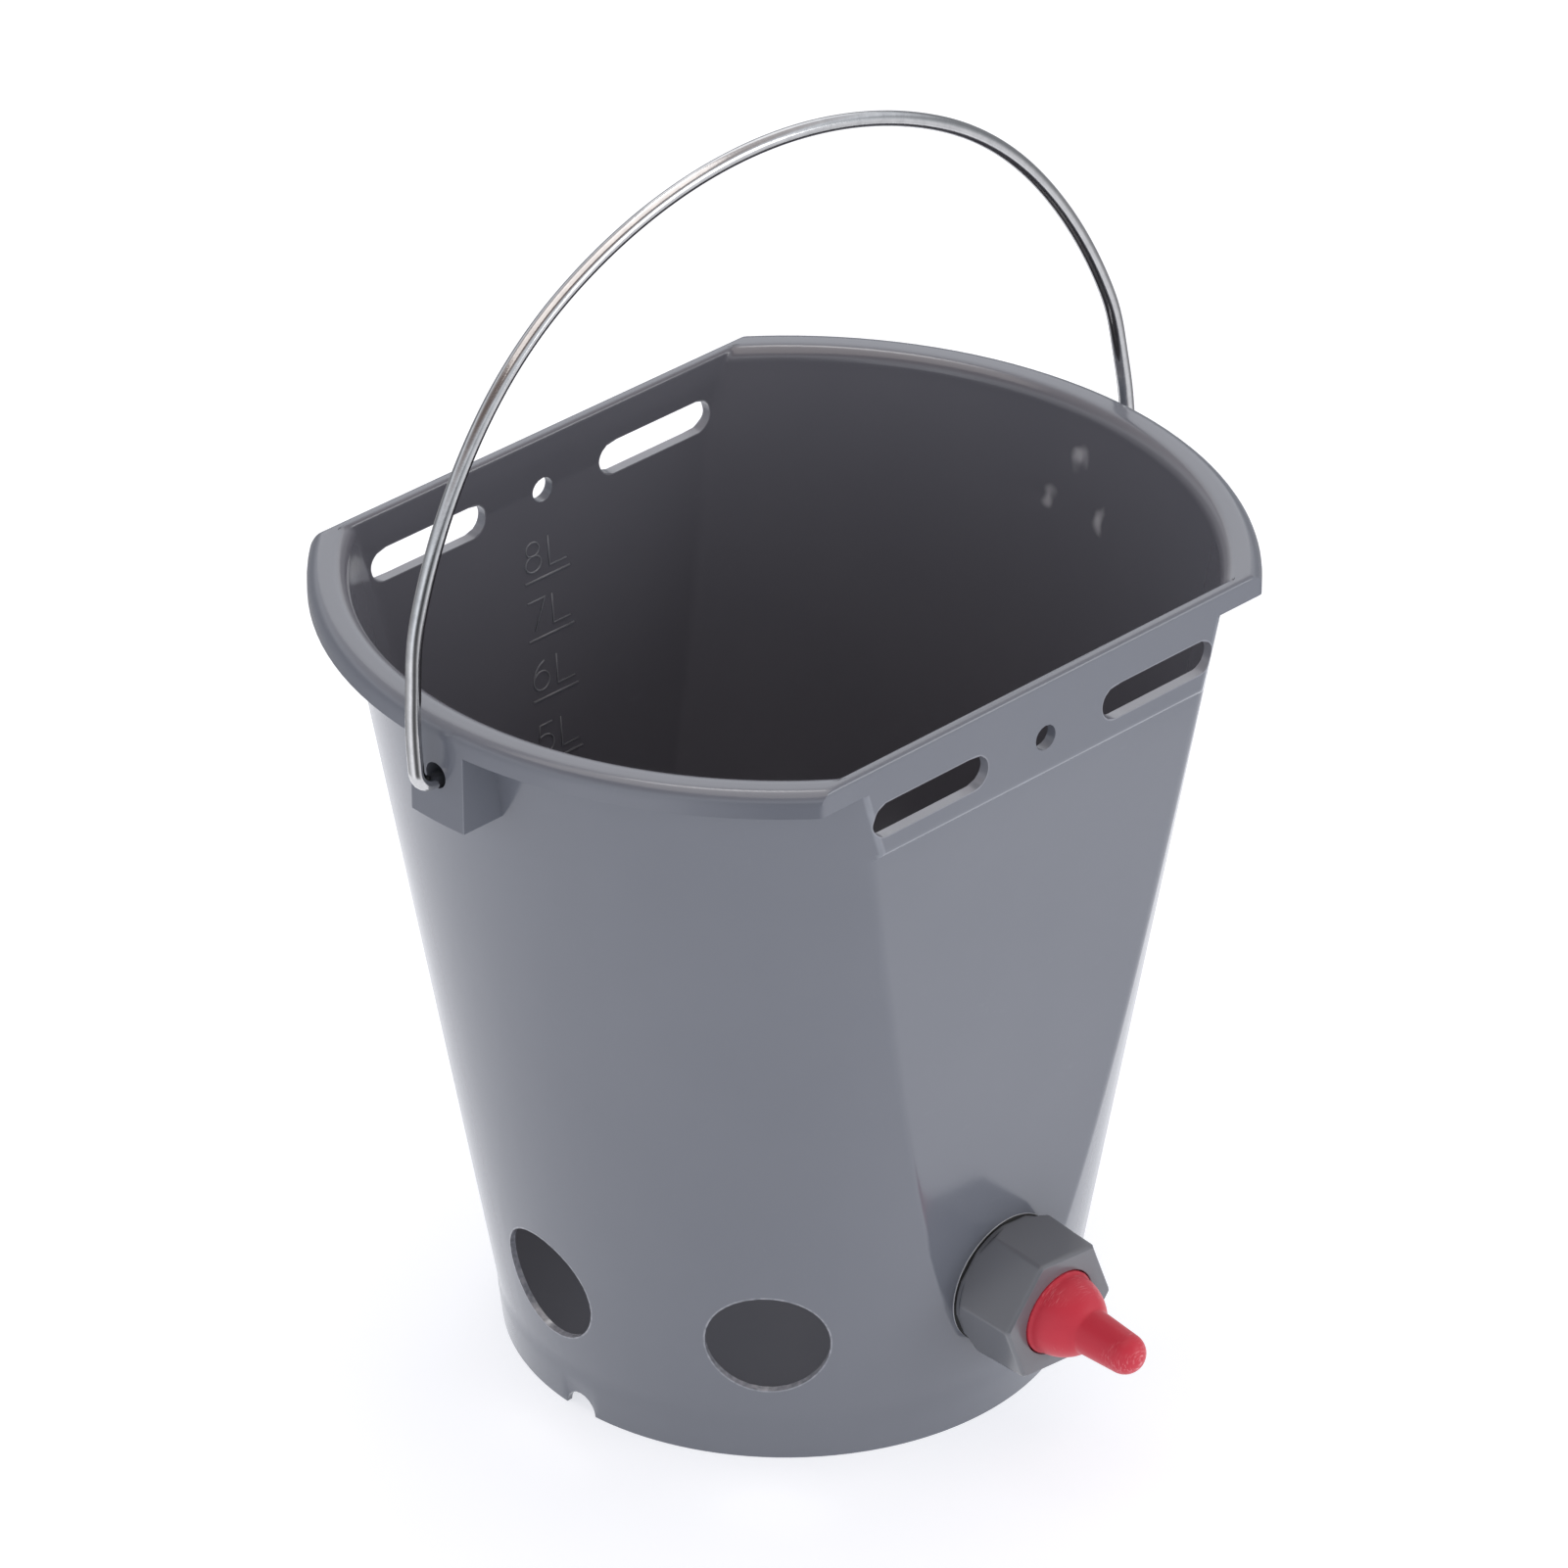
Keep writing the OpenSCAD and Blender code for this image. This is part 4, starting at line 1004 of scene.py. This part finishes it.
def handling_marks():
    """Scuffs are where a stretched noise peaks and a second, broad noise says that this patch was rubbed."""
    tree, given, result = new_group(
        "handling_marks", {"Scale": 160.0, "Amount": 0.5, "Cover": 0.0}, ("Mask",))
    place = object_place(tree)
    stretched = add(tree, "ShaderNodeMapping", {
        "Vector": place, "Rotation": (0.4, 0.9, 0.5), "Scale": (1.0, 9.0, 2.0)}).outputs["Vector"]
    fine = maths(tree, "ADD", noise(tree, stretched, given["Scale"], 3.0, 0.6), given["Cover"])
    broad = maths(tree, "ADD", noise(tree, place, 38.0, 2.0), given["Cover"])
    peak, patch = between(tree, fine, 0.6, 0.74), between(tree, broad, 0.5, 0.66)
    tree.links.new(maths(tree, "MULTIPLY", peak, patch, given["Amount"]), result["Mask"])
    return tree


def group(tree, used, **values):
    """A node that uses a group, with the input values given."""
    node = tree.nodes.new("ShaderNodeGroup")
    node.node_tree = used
    for label, value in values.items():
        node.inputs[label].default_value = value
    return node.outputs


SKIN, MARKS = moulded_skin(), handling_marks()
print("groups:", [used.name for used in (SKIN, MARKS)])


# %% Plastics
def new_material(name, **sockets):
    """A material with its Principled shader, whose plain sockets get the values given."""
    material = bpy.data.materials.new(name)
    material.use_nodes = True
    tree = material.node_tree
    shader = tree.nodes["Principled BSDF"]
    for label, value in sockets.items():
        shader.inputs[label.replace("_", " ")].default_value = value
    return material, tree, shader


def bump(tree, shader, height, distance):
    """Links a bump of the height, which reaches the distance in metres, to the shader."""
    node = add(tree, "ShaderNodeBump", {"Height": height, "Distance": distance, "Strength": 1.0})
    tree.links.new(node.outputs["Normal"], shader.inputs["Normal"])


def moulded_plastic(name, dark, pale, roughness, scuff, size=1.0, marks=0.35):
    """Plastic between two close tones, with peel, uneven gloss and faint pale scuffs."""
    material, tree, shader = new_material(name, IOR=1.6)
    skin = group(tree, SKIN, Size=size)
    rubbed = group(tree, MARKS, Amount=marks)["Mask"]
    tone = mix_colour(tree, spread(tree, skin["Cloud"], 0.0, 1.0), dark, pale)
    tree.links.new(mix_colour(tree, rubbed, tone, scuff), shader.inputs["Base Color"])
    gloss = spread(tree, skin["Cloud"], roughness - 0.03, roughness + 0.03)
    duller = maths(tree, "MULTIPLY", rubbed, 0.25)
    tree.links.new(maths(tree, "ADD", gloss, duller), shader.inputs["Roughness"])
    bump(tree, shader, skin["Height"], 0.012 * MM * size)
    return material, tree, shader


BODY_PLASTIC, body_tree, body_shader = moulded_plastic(
    "blue_grey_plastic", (0.144, 0.154, 0.181), (0.154, 0.164, 0.191), 0.17, (0.21, 0.22, 0.25), marks=0.12)
# The figures are paler than the body, partly for rubbing and partly as a painted highlight of the light their
# raised strokes catch.
FIGURE_PLASTIC = moulded_plastic(
    "rubbed_and_highlit_figures", (0.19, 0.195, 0.215), (0.22, 0.225, 0.245), 0.34, (0.28, 0.29, 0.31), marks=0.3)[0]
NUT_PLASTIC = moulded_plastic(
    "dark_grey_plastic", (0.142, 0.147, 0.162), (0.156, 0.161, 0.176), 0.24, (0.22, 0.23, 0.25), 0.7, 0.25)[0]
VALVE_PLASTIC = moulded_plastic(
    "light_grey_plastic", (0.28, 0.29, 0.30), (0.31, 0.32, 0.33), 0.32, (0.45, 0.45, 0.46), 0.7, 0.3)[0]
BALL_PLASTIC = moulded_plastic(
    "white_ball_plastic", (0.77, 0.77, 0.74), (0.82, 0.82, 0.79), 0.22, (0.88, 0.88, 0.86), 0.5, 0.2)[0]
PLASTICS = BODY_PLASTIC, FIGURE_PLASTIC, NUT_PLASTIC, VALVE_PLASTIC, BALL_PLASTIC
print("plastics:", [material.name for material in PLASTICS])

# %% [markdown]
# ## Painted light and shade on the bucket
# Four marks are painted into the bucket's colour. The inside is painted shade, warmer and darker up high, and
# painted lighter low down. Pale painted highlights lie inside the wall where the ears shrank behind it.
# Ragged painted highlights line the rims of the holes, faintly the slots, and the edges that stand out. A
# mask for each comes from the drawing's own sizes, as a distance from the line where the mark lies, so it
# follows the edge exactly.

# %% Painted light and shade on the bucket
# Squash of the height in the painted glints at the dents, which makes them taller than wide.
GLINT_SQUASH = 0.6
# Tints of painted light and shade inside the bucket: lighter low down, darker and warmer higher up.
INNER_LOW_LIGHT_TINT, INNER_HIGH_SHADE_TINT = (1.15, 1.08, 1.05), (0.90, 0.84, 0.82)
# Tones of painted highlights: on the dents behind the ears, on the hole rims, and on the edges that stand
# out.
SINK_GLINT_TONE, RIM_HIGHLIGHT_TONE, EDGE_HIGHLIGHT_TONE = (0.54, 0.53, 0.55), (0.42, 0.42, 0.45), (0.40, 0.42, 0.46)


def paint(tree, shader, share, colour):
    """Lays a colour over the base colour: not at all where the share is 0, and wholly where it is 1."""
    base = shader.inputs["Base Color"]
    tree.links.new(mix_colour(tree, share, base.links[0].from_socket, colour), base)


def distance_from_axis(tree, x, y):
    """The length of (x, y)."""
    return vectors(tree, "LENGTH", vector_of(tree, x, y))


def cone_radius(tree, z, inset=0.0):
    """Radius of the bucket's cone at a height, less an inset."""
    return maths(tree, "ADD", maths(tree, "MULTIPLY", z, CONE_SLOPE), BASE_R - inset)


def near_line(tree, distance, place, width, fade):
    """A mask for the points whose distance is the place, which ends at a width and fades within it."""
    miss = maths(tree, "ABSOLUTE", maths(tree, "SUBTRACT", distance, place))
    return between(tree, miss, width, fade)


def inner_skin(tree, shader):
    """Painted shade on faces turned to the axis: a warmer tone, darker the higher they are, painted lighter
    low down.
    """
    x, y, z = place_in_mm(tree)
    normal = add(tree, "ShaderNodeTexCoord").outputs["Normal"]
    facing = vectors(tree, "DOT_PRODUCT", normal, vector_of(tree, x, y))
    tint = mix_colour(tree, between(tree, z, 40.0, 130.0), INNER_LOW_LIGHT_TINT, INNER_HIGH_SHADE_TINT)
    tinted = vectors(tree, "MULTIPLY", shader.inputs["Base Color"].links[0].from_socket, tint)
    # Painted shade: the inward faces take the darker, warmer tint.
    paint(tree, shader, between(tree, facing, -20.0, -60.0), tinted)


def pale_sink_marks(tree, shader):
    """A painted highlight near each dent, only inside the wall: a soft pale glint, taller than wide."""
    x, y, z = place_in_mm(tree)
    level = vector_of(tree, 0.0, maths(tree, "ABSOLUTE", y), maths(tree, "MULTIPLY", z, GLINT_SQUASH))
    gaps = [vectors(tree, "DISTANCE", level, (0, my, mz * GLINT_SQUASH)) for my, mz in SINK_MARKS]
    uneven = spread(tree, noise(tree, object_place(tree), 190.0, 0.0), -0.9, 1.5)
    gap = maths(tree, "ADD", maths(tree, "MINIMUM", *gaps), uneven)
    inside = maths(tree, "LESS_THAN", distance_from_axis(tree, x, y), cone_radius(tree, z, 1.2))
    share = maths(tree, "MULTIPLY", between(tree, gap, 3.8, 0.0, smooth=True), inside, 0.72)
    # Painted highlight: a pale glint where the dents behind the ears catch the light.
    paint(tree, shader, share, SINK_GLINT_TONE)


def pale_cut_edges(tree, shader):
    """Painted highlights on the rims: ragged where the distance from an open hole's middle line is its
    radius, faint on slots.
    """
    x, y, z = place_in_mm(tree)
    right = maths(tree, "ABSOLUTE", x)
    folded = vector_of(tree, right, y, z)
    rims = []
    for turn in TEAT_HOLE_TURNS:
        middle, out = (tuple(float(c) for c in v) for v in open_hole(math.radians(turn)))
        off = vectors(tree, "SUBTRACT", folded, middle)
        away = vectors(tree, "LENGTH", vectors(tree, "CROSS_PRODUCT", off, out))
        outside = maths(tree, "GREATER_THAN", vectors(tree, "DOT_PRODUCT", off, out), -6.0)
        rims.append(maths(tree, "MULTIPLY", near_line(tree, away, TEAT_HOLE_R + 0.1, 0.6, 0.25), outside))
    ragged = spread(tree, noise(tree, object_place(tree), 520.0, 3.0), 0.1, 1.0)
    hole_highlight = maths(tree, "MULTIPLY", maths(tree, "MAXIMUM", *rims), ragged, 0.6)
    along = maths(tree, "ABSOLUTE", maths(tree, "SUBTRACT", right, SLOT_X))
    past = maths(tree, "MAXIMUM", maths(tree, "SUBTRACT", along, (SLOT_LEN - SLOT_H) / 2), 0.0)
    gap = distance_from_axis(tree, past, maths(tree, "SUBTRACT", z, SLOT_Z))
    on_flat = maths(tree, "GREATER_THAN", maths(tree, "ABSOLUTE", y), 100.0)
    slots = maths(tree, "MULTIPLY", near_line(tree, gap, SLOT_H / 2 + 0.05, 0.45, 0.15), on_flat, 0.3)
    # Painted highlight: pale lines along the hole rims and the slots' edges.
    paint(tree, shader, maths(tree, "MAXIMUM", hole_highlight, slots), RIM_HIGHLIGHT_TONE)


def worn_edges(tree, shader):
    """Painted highlights on the edges that stand out: ends and foot of the hanging bands, and corners of the
    ears.

    Each mask is a product of ranges: how far out, how far from the cone, and at which heights."""
    x, y, z = place_in_mm(tree)
    right, away = maths(tree, "ABSOLUTE", x), maths(tree, "ABSOLUTE", y)
    inward = maths(tree, "SUBTRACT", cone_radius(tree, z), distance_from_axis(tree, x, y))

    def where(*ranges):
        """The product of the shares of several ranges, each a value and its two limits."""
        return maths(tree, "MULTIPLY", *(between(tree, *limits) for limits in ranges))

    ends = where((away, BAND_Y - 1.0, BAND_Y - 0.5), (z, LIP_Z, LIP_Z - 0.5), (inward, 0.75, 0.35),
                 (z, LEDGE_Z - 0.4, LEDGE_Z))
    foot = where((away, BAND_Y - 1.5, BAND_Y - 0.8), (z, LEDGE_Z + 1.1, LEDGE_Z + 0.6),
                 (z, LEDGE_Z - 1.4, LEDGE_Z - 0.8))
    ears = where((right, RIM_R - 0.8, RIM_R - 0.3), (away, EAR_HALF - 0.55, EAR_HALF - 0.15),
                 (away, EAR_HALF + 0.65, EAR_HALF + 0.25), (z, LIP_Z - 0.2, LIP_Z - 0.6))
    patchy = spread(tree, noise(tree, object_place(tree), 90.0, 3.0), 0.55, 1.0)
    share = maths(tree, "MULTIPLY", maths(tree, "MAXIMUM", ends, foot, ears), patchy, 0.34)
    # Painted highlight: pale lines where these edges would catch the light.
    paint(tree, shader, share, EDGE_HIGHLIGHT_TONE)


for mark in (inner_skin, pale_sink_marks, pale_cut_edges, worn_edges):
    mark(body_tree, body_shader)
    print(mark.__name__, "is on", BODY_PLASTIC.name)


# %% Rubbers
def rubber(name, dark, pale, roughness, dust, marks, marks_scale=420.0, cover=0.0):
    """Soft rubber: no gloss to speak of, a fine tooth, and scuffs of pale dust."""
    material, tree, shader = new_material(
        name, Specular_IOR_Level=0.35, Sheen_Weight=0.08, Sheen_Roughness=0.4)
    skin = group(tree, SKIN, Size=0.45)
    rubbed = group(tree, MARKS, Scale=marks_scale, Amount=marks, Cover=cover)["Mask"]
    tone = mix_colour(tree, spread(tree, skin["Cloud"], 0.0, 1.0), dark, pale)
    tree.links.new(mix_colour(tree, rubbed, tone, dust), shader.inputs["Base Color"])
    gloss = spread(tree, skin["Cloud"], roughness - 0.05, roughness + 0.05)
    tree.links.new(gloss, shader.inputs["Roughness"])
    bump(tree, shader, skin["Height"], 0.04 * MM)
    return material, tree, shader


def pale_seal_edge(tree, shader):
    """A painted highlight on the outer seal's lip at the wall: the first part of its thickness, along its
    axis, is pale.
    """
    away = vectors(tree, "DOT_PRODUCT", object_place(tree), tuple(float(c) for c in TEAT_OUT))
    start = float(along_teat(0.0, 0.0, 0.0) @ TEAT_OUT) * MM
    depth = maths(tree, "SUBTRACT", away, start)
    share = add(tree, "ShaderNodeMath", {0: depth, 1: 0.15 * MM, 2: 0.2 * MM}, operation="COMPARE").outputs[0]
    # Painted highlight: a pale band on the black rubber where its edge catches the light.
    paint(tree, shader, share, (0.55, 0.56, 0.58))


TEAT_RUBBER = rubber(
    "red_rubber", (0.57, 0.029, 0.052), (0.65, 0.039, 0.064), 0.46, (0.84, 0.40, 0.42), 0.75, 300.0, 0.06)[0]
SEAL_RUBBER, seal_tree, seal_shader = rubber(
    "black_seal_rubber", (0.016, 0.016, 0.016), (0.024, 0.024, 0.024), 0.55, (0.07, 0.07, 0.07), 0.3)
pale_seal_edge(seal_tree, seal_shader)
print("rubbers:", TEAT_RUBBER.name, SEAL_RUBBER.name)


# %% Steel wire
def drawn_steel():
    """Galvanised wire: a bright metal, with a mottle in its tone and gloss and a fine grain in its bump."""
    material, tree, shader = new_material("drawn_steel", Metallic=1.0)
    mottle = noise(tree, object_place(tree), 260.0, 4.0, 0.6)
    fine = noise(tree, object_place(tree), 1500.0, 2.0)
    tone = mix_colour(tree, spread(tree, mottle, 0.0, 1.0), (0.50, 0.50, 0.505), (0.60, 0.60, 0.60))
    tree.links.new(tone, shader.inputs["Base Color"])
    tree.links.new(spread(tree, mottle, 0.20, 0.12), shader.inputs["Roughness"])
    bump(tree, shader, maths(tree, "ADD", mottle, maths(tree, "MULTIPLY", fine, 0.3)), 0.03 * MM)
    return material


STEEL = drawn_steel()
print("wire:", STEEL.name)

# %% Hand out the materials
for piece, material in (
        (bucket, BODY_PLASTIC), (litre_marks, FIGURE_PLASTIC), (bail, STEEL), (nut, NUT_PLASTIC),
        (thread, VALVE_PLASTIC), (teat, TEAT_RUBBER)):
    piece.data.materials.append(material)
for name, material in (
        ("bucket_body", BODY_PLASTIC), ("bail_handle", STEEL), ("teat_nut", NUT_PLASTIC),
        ("teat", TEAT_RUBBER), ("valve_body", VALVE_PLASTIC), ("inner_gasket", SEAL_RUBBER),
        ("outer_gasket", SEAL_RUBBER), ("valve_ball", BALL_PLASTIC), ("ball_cage", VALVE_PLASTIC)):
    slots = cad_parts[name].material_slots
    for slot in slots:
        slot.material = material
    if not slots:
        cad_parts[name].data.materials.append(material)
    print(name, "->", material.name)

# %% [markdown]
# ## The stage
# The bucket was photographed in a white tent, and its picture was cut out. A white surround does the
# same work. It is a little cool at the sides. Above it is dimmer, most of all towards the camera, so the
# inside of the bucket falls dark as it does in the photograph. The floor is pale and keeps a soft shadow.
#
# A photographer stands dark cards between the white sheets, because bright wire needs something to
# mirror. Here a table gives the brightness by direction. Only reflections see it, on the floor beyond the
# bucket's foot and low in the surround, so it draws the stripes of the wire and leaves the walls even.

# %% Cards and sheets
CARDS = ((0, 0.3), (110, 0.3), (145, 0.55), (168, 0.8), (182, 1.2), (198, 1.1), (213, 0.4), (224, 0.1),
         (248, 0.1), (264, 0.5), (280, 0.85), (312, 0.85), (330, 0.45), (346, 0.3))
RAMP_TOP = 2.0


def card_glow(tree, x, y):
    """Brightness by direction, from the table. A ramp holds 1 at most, so it holds halves."""
    turn = maths(tree, "DIVIDE", maths(tree, "ARCTAN2", y, x), 2 * math.pi)
    whole = maths(tree, "FRACT", maths(tree, "ADD", turn, 1.0))
    ramp = add(tree, "ShaderNodeValToRGB", {0: whole})
    ramp.color_ramp.interpolation = "EASE"
    stops = ramp.color_ramp.elements
    for stop in stops:
        stop.color = (*[CARDS[0][1] / RAMP_TOP] * 3, 1)
    for azimuth, glow in CARDS[1:]:
        stops.new(azimuth / 360).color = (*[glow / RAMP_TOP] * 3, 1)
    return maths(tree, "MULTIPLY", ramp.outputs["Color"], RAMP_TOP)


def faded(tree, value, share):
    """One where the share is 0, and the value where it is 1."""
    return maths(tree, "ADD", maths(tree, "MULTIPLY", share, maths(tree, "SUBTRACT", value, 1.0)), 1.0)


print("cards and sheets:", len(CARDS), "directions")

# %% Floor
FLOOR_HALF, FLOOR_DROP, CARDS_FROM, CARDS_TO = 3000.0, 0.1, 0.43, 0.52
FLOOR_TONE, FLOOR_GLOW, FLOOR_MIRROR, FLOOR_FILL = (0.45, 0.45, 0.45), 0.70, 0.98, 0.32
BOUNCE_TONE, MIRROR_TONE, GLOW_TONE = (0.84, 0.86, 0.90), (0.2, 0.2, 0.21), (0.97, 0.985, 1.03, 1)


def make_floor():
    """A pale square. What the camera and reflections see of it is raised to white, and keeps the shadow."""
    far = FLOOR_HALF
    corners = [(x, y, -FLOOR_DROP) for x, y in ((-far, -far), (far, -far), (far, far), (-far, far))]
    floor = make_mesh("floor", corners, [(0, 1, 2, 3)], outward=False)
    material, tree, shader = new_material("pale_floor", Roughness=0.9)
    ray = add(tree, "ShaderNodeLightPath").outputs
    x, y, _ = parts_of(tree, object_place(tree))
    away = vectors(tree, "LENGTH", object_place(tree))
    cards = faded(tree, card_glow(tree, x, y), between(tree, away, CARDS_FROM, CARDS_TO, smooth=True))
    tone = mix_colour(tree, ray["Is Camera Ray"], BOUNCE_TONE, FLOOR_TONE)
    mirrored = mix_colour(tree, cards, (0.0, 0.0, 0.0), MIRROR_TONE)
    tree.links.new(mix_colour(tree, ray["Is Glossy Ray"], tone, mirrored), shader.inputs["Base Color"])
    shader.inputs["Emission Color"].default_value = GLOW_TONE
    glow = maths(
        tree, "ADD", maths(tree, "MULTIPLY", ray["Is Camera Ray"], FLOOR_GLOW),
        maths(tree, "MULTIPLY", ray["Is Glossy Ray"], cards, FLOOR_MIRROR),
        maths(tree, "MULTIPLY", ray["Is Diffuse Ray"], FLOOR_FILL))
    tree.links.new(glow, shader.inputs["Emission Strength"])
    floor.data.materials.append(material)


make_floor()

# %% Surround
SIDE_LIGHT, HIGH_FRONT, HIGH_BACK = (1.0, 1.04, 1.11), (0.22, 0.175, 0.165), (0.62, 0.59, 0.60)
HIGH, BEHIND, CARDS_LOW = (0.35, 0.75), (-0.5, 0.7), (0.45, 0.2)


def make_surround():
    """The light of the tent by direction: cool at the sides, dimmer higher up, dimmest to the front."""
    world = bpy.data.worlds.new("white_tent")
    bpy.context.scene.world = world
    world.use_nodes = True
    tree = world.node_tree
    x, y, height = parts_of(tree, add(tree, "ShaderNodeTexCoord").outputs["Generated"])
    behind = between(tree, maths(tree, "ADD", x, y), *BEHIND, smooth=True)
    above = mix_colour(tree, behind, HIGH_FRONT, HIGH_BACK)
    colour = mix_colour(tree, between(tree, height, *HIGH, smooth=True), SIDE_LIGHT, above)
    ray = add(tree, "ShaderNodeLightPath").outputs
    low = between(tree, height, *CARDS_LOW, smooth=True)
    cards = faded(tree, card_glow(tree, x, y), maths(tree, "MULTIPLY", low, ray["Is Glossy Ray"]))
    carded = vectors(tree, "MULTIPLY", colour, cards)
    background = tree.nodes["Background"]
    shown = mix_colour(tree, ray["Is Camera Ray"], carded, (1.0, 1.0, 1.0))
    tree.links.new(shown, background.inputs["Color"])
    background.inputs["Strength"].default_value = 1.0
    print("surround:", world.name)


make_surround()


# %% Lamps
def soft_box(name, place, target, size, power, colour=(1.0, 1.0, 1.0)):
    """A square lamp at a place, facing a target."""
    data = bpy.data.lights.new(name, "AREA")
    data.size, data.energy, data.color = size, power, colour
    lamp = bpy.data.objects.new(name, data)
    bpy.context.scene.collection.objects.link(lamp)
    lamp.location = place
    lamp.rotation_mode = "QUATERNION"
    lamp.rotation_quaternion = (Vector(target) - Vector(place)).to_track_quat("-Z", "Y")
    print(name, "of", power, "W at", place)


soft_box("top_box", (0, 0, 1.7), (0, 0, 0), 1.6, 10, (1.0, 0.94, 0.90))
soft_box("back_box", (1.15, 1.2, 1.25), (0, 0, 0.28), 1.2, 2.5)
soft_box("rim_box", (0.48, 0.62, 1.74), (0.1, 0.08, 0.28), 0.35, 1.4)
soft_box("front_box", (1.1, -1.9, 0.8), (0, 0, 0.15), 1.0, 8)
